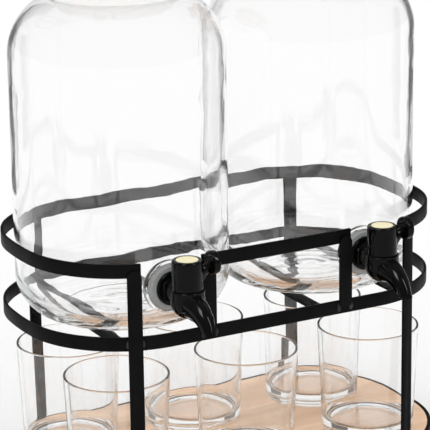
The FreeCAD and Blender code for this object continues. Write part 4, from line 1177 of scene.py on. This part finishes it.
lid = lathe("left_lid_wood", [
    (HEAD_HOLE, -SPIGOT_DEPTH), (SPIGOT - 0.6, -SPIGOT_DEPTH), (SPIGOT, -SPIGOT_DEPTH + 0.6),
    (SPIGOT, SEAL_LOW), (SEAL_INNER, SEAL_LOW), (SEAL_INNER, SEAL_HIGH), (SPIGOT, SEAL_HIGH),
    (SPIGOT, 0), (LID - 1.2, 0), (LID - 0.3, 0.4), (LID, 1.2)]
    + arc(LID - LID_ROUND, LID_THICK - LID_ROUND, LID_ROUND, 0, 90, 10)
    + line((LID - 8, LID_THICK), (SCREW_HOLE + 1, LID_THICK), 4)
    + [(SCREW_HOLE, LID_THICK - 0.3), (SCREW_HOLE, SCREW_SEAT), (HEAD_HOLE, SCREW_SEAT),
       (HEAD_HOLE, -SPIGOT_DEPTH)], LID_FOOT, 128)
smooth(lid, 30)
seal = lathe("left_lid_seal_silicone", [
    (SEAL_INNER, SEAL_LOW), (SPIGOT + 0.4, SEAL_LOW), (SEAL - 0.5, SEAL_LOW + 0.3),
    (SEAL, SEAL_LOW + 0.9), (SEAL - 0.6, -4.5), (SEAL, SEAL_HIGH - 0.9), (SEAL - 0.5, SEAL_HIGH - 0.3),
    (SPIGOT + 0.4, SEAL_HIGH), (SEAL_INNER, SEAL_HIGH), (SEAL_INNER, SEAL_LOW)], LID_FOOT, 128)
smooth(seal, 30)
print("lid:", len(lid.data.polygons), "faces, seal:", len(seal.data.polygons))

# %% Knob and its screw
KNOB_TOP = (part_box("left_lid_knob")[1].z - LID_FOOT.z) / MM
LID_KNOB = extent("left_lid_knob").x / 2 / MM
knob_low = LID_THICK
lid_knob = lathe("left_lid_knob_metal", [
    (2.0, knob_low), (8.6, knob_low), (9.0, knob_low + 0.4), (9.0, knob_low + 1.1),
    (8.6, knob_low + 1.5), (7.4, knob_low + 2.8), (6.7, knob_low + 4.3), (6.5, knob_low + 5.4),
    (6.5, knob_low + 7.6), (7.0, knob_low + 9.2), (8.4, knob_low + 10.6), (10.6, knob_low + 11.7),
    (12.4, knob_low + 12.6), (LID_KNOB, knob_low + 13.6)]
    + arc(LID_KNOB - 3, KNOB_TOP - 3, 3, 0, 84, 8)
    + [(5, KNOB_TOP - 0.05), (0, KNOB_TOP), (0, knob_low + 12), (2.0, knob_low + 12),
       (2.0, knob_low)], LID_FOOT, 72)
smooth(lid_knob, 30)

SCREW_TOP = (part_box("left_lid_screw")[1].z - LID_FOOT.z) / MM
SCREW_LOW = (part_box("left_lid_screw")[0].z - LID_FOOT.z) / MM
lid_screw = lathe("left_lid_screw_steel",
                  [(0, SCREW_LOW), (3.0, SCREW_LOW), (3.7, SCREW_LOW + 0.3), (4.0, SCREW_LOW + 0.9),
                   (4.0, SCREW_SEAT), (1.9, SCREW_SEAT)]
                  + thread(SCREW_SEAT + 1, SCREW_TOP - 0.6, 1.9, 0.25, 0.7)
                  + [(1.4, SCREW_TOP - 0.2), (0, SCREW_TOP)], LID_FOOT, 40)
cutter = cross_cutter(2.2 * MM, 2.4 * MM, 0.7 * MM)
cutter.data.transform(Matrix.Rotation(math.pi / 2, 4, "Y"))
cutter.data.transform(Matrix.Translation(LID_FOOT + Vector((0, 0, SCREW_LOW * MM))))
combine(lid_screw, cutter, "DIFFERENCE")
smooth(lid_screw, 30)
print("knob:", len(lid_knob.data.polygons), "faces, screw:", len(lid_screw.data.polygons))

# %% Finish both lids
# The lids take the base's wood with every tone darkened to 0.78. This is painted shade that tones down the room light
# on their upward faces.
shaded_lid_wood = {"left": pale_wood("left_lid_wood_grain", (-0.24, 0.21, 0.05), (0, 0, 0.35), depth=0.78),
            "right": pale_wood("right_lid_wood_grain", (0.43, -0.17, 0.02), (0, 0, -0.2), depth=0.78)}
lid_parts = [(lid, "lid", "wood", None), (seal, "lid_seal", "silicone", silicone),
             (lid_knob, "lid_knob", "powder_coat", black_coat), (lid_screw, "lid_screw", "steel", steel)]
for piece, node, slot, finish in lid_parts:
    twin = copy_piece(piece, piece.name.replace("left", "right"), TWIN_SHIFT)
    for side, part in (("left", piece), ("right", twin)):
        finish_piece(part, f"{side}_lid", f"{side}_{node}", finish or shaded_lid_wood[side])
print("two lids of", len(lid_parts), "pieces")

# %% [markdown]
# ## The tumblers
# Pressed tumblers have a heavy foot, a wall that gets thinner towards the top and a rim that was
# melted round in a flame. One is spun from its outline and copied to the six places.

# %% Tumbler outline
GLASS_LOW, GLASS_HIGH = (corner.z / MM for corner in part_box("glass_1"))
GLASS_TOP = extent("glass_1").x / 2 / MM
GLASS_FOOT = 34.0
GLASS_WALL = 1.8
GLASS_FLOOR = GLASS_LOW + 8.5


def tumbler_outline():
    rim = GLASS_WALL / 2
    slope = (GLASS_TOP - GLASS_FOOT) / (GLASS_HIGH - GLASS_LOW)

    def outer(z):
        return GLASS_FOOT + slope * (z - GLASS_LOW)

    points = [(0, GLASS_LOW + 1.2), (12, GLASS_LOW + 1.1)]
    points += arc(GLASS_FOOT - 7, GLASS_LOW - 3.4, 5, 115, 65, 4)[:1]
    points += [(GLASS_FOOT - 6.5, GLASS_LOW + 0.5), (GLASS_FOOT - 4.5, GLASS_LOW)]
    points += arc(GLASS_FOOT - 2.2, GLASS_LOW + 2.2, 2.2, -90, 0, 6)
    points += line((outer(GLASS_LOW + 4), GLASS_LOW + 4), (outer(GLASS_HIGH - rim), GLASS_HIGH - rim), 12)
    points += arc(outer(GLASS_HIGH) - rim, GLASS_HIGH - rim, rim, 0, 180, 10)
    inner_low = GLASS_FLOOR + 5
    points += line((outer(GLASS_HIGH - rim) - GLASS_WALL, GLASS_HIGH - rim - 1),
                   (outer(inner_low) - GLASS_WALL - 0.4, inner_low), 12)
    points += arc(outer(inner_low) - GLASS_WALL - 5.4, inner_low, 5, 0, -90, 8)
    points += [(18, GLASS_FLOOR + 0.25), (9, GLASS_FLOOR + 0.45), (0, GLASS_FLOOR + 0.5)]
    return points


print("tumbler outline has", len(tumbler_outline()), "points")

# %% Six tumblers
first_spot = middle("glass_1")
tumbler = lathe("glass_1_clear", tumbler_outline(), (first_spot.x, first_spot.y, 0), 128)
smooth(tumbler, 40)
for number in range(2, 7):
    spot = middle(f"glass_{number}")
    twin = copy_piece(tumbler, f"glass_{number}_clear", spot - first_spot)
    finish_piece(twin, f"glass_{number}", f"glass_{number}", tumbler_glass)
finish_piece(tumbler, "glass_1", "glass_1", tumbler_glass)
print("tumbler:", len(tumbler.data.polygons), "faces, six of them")
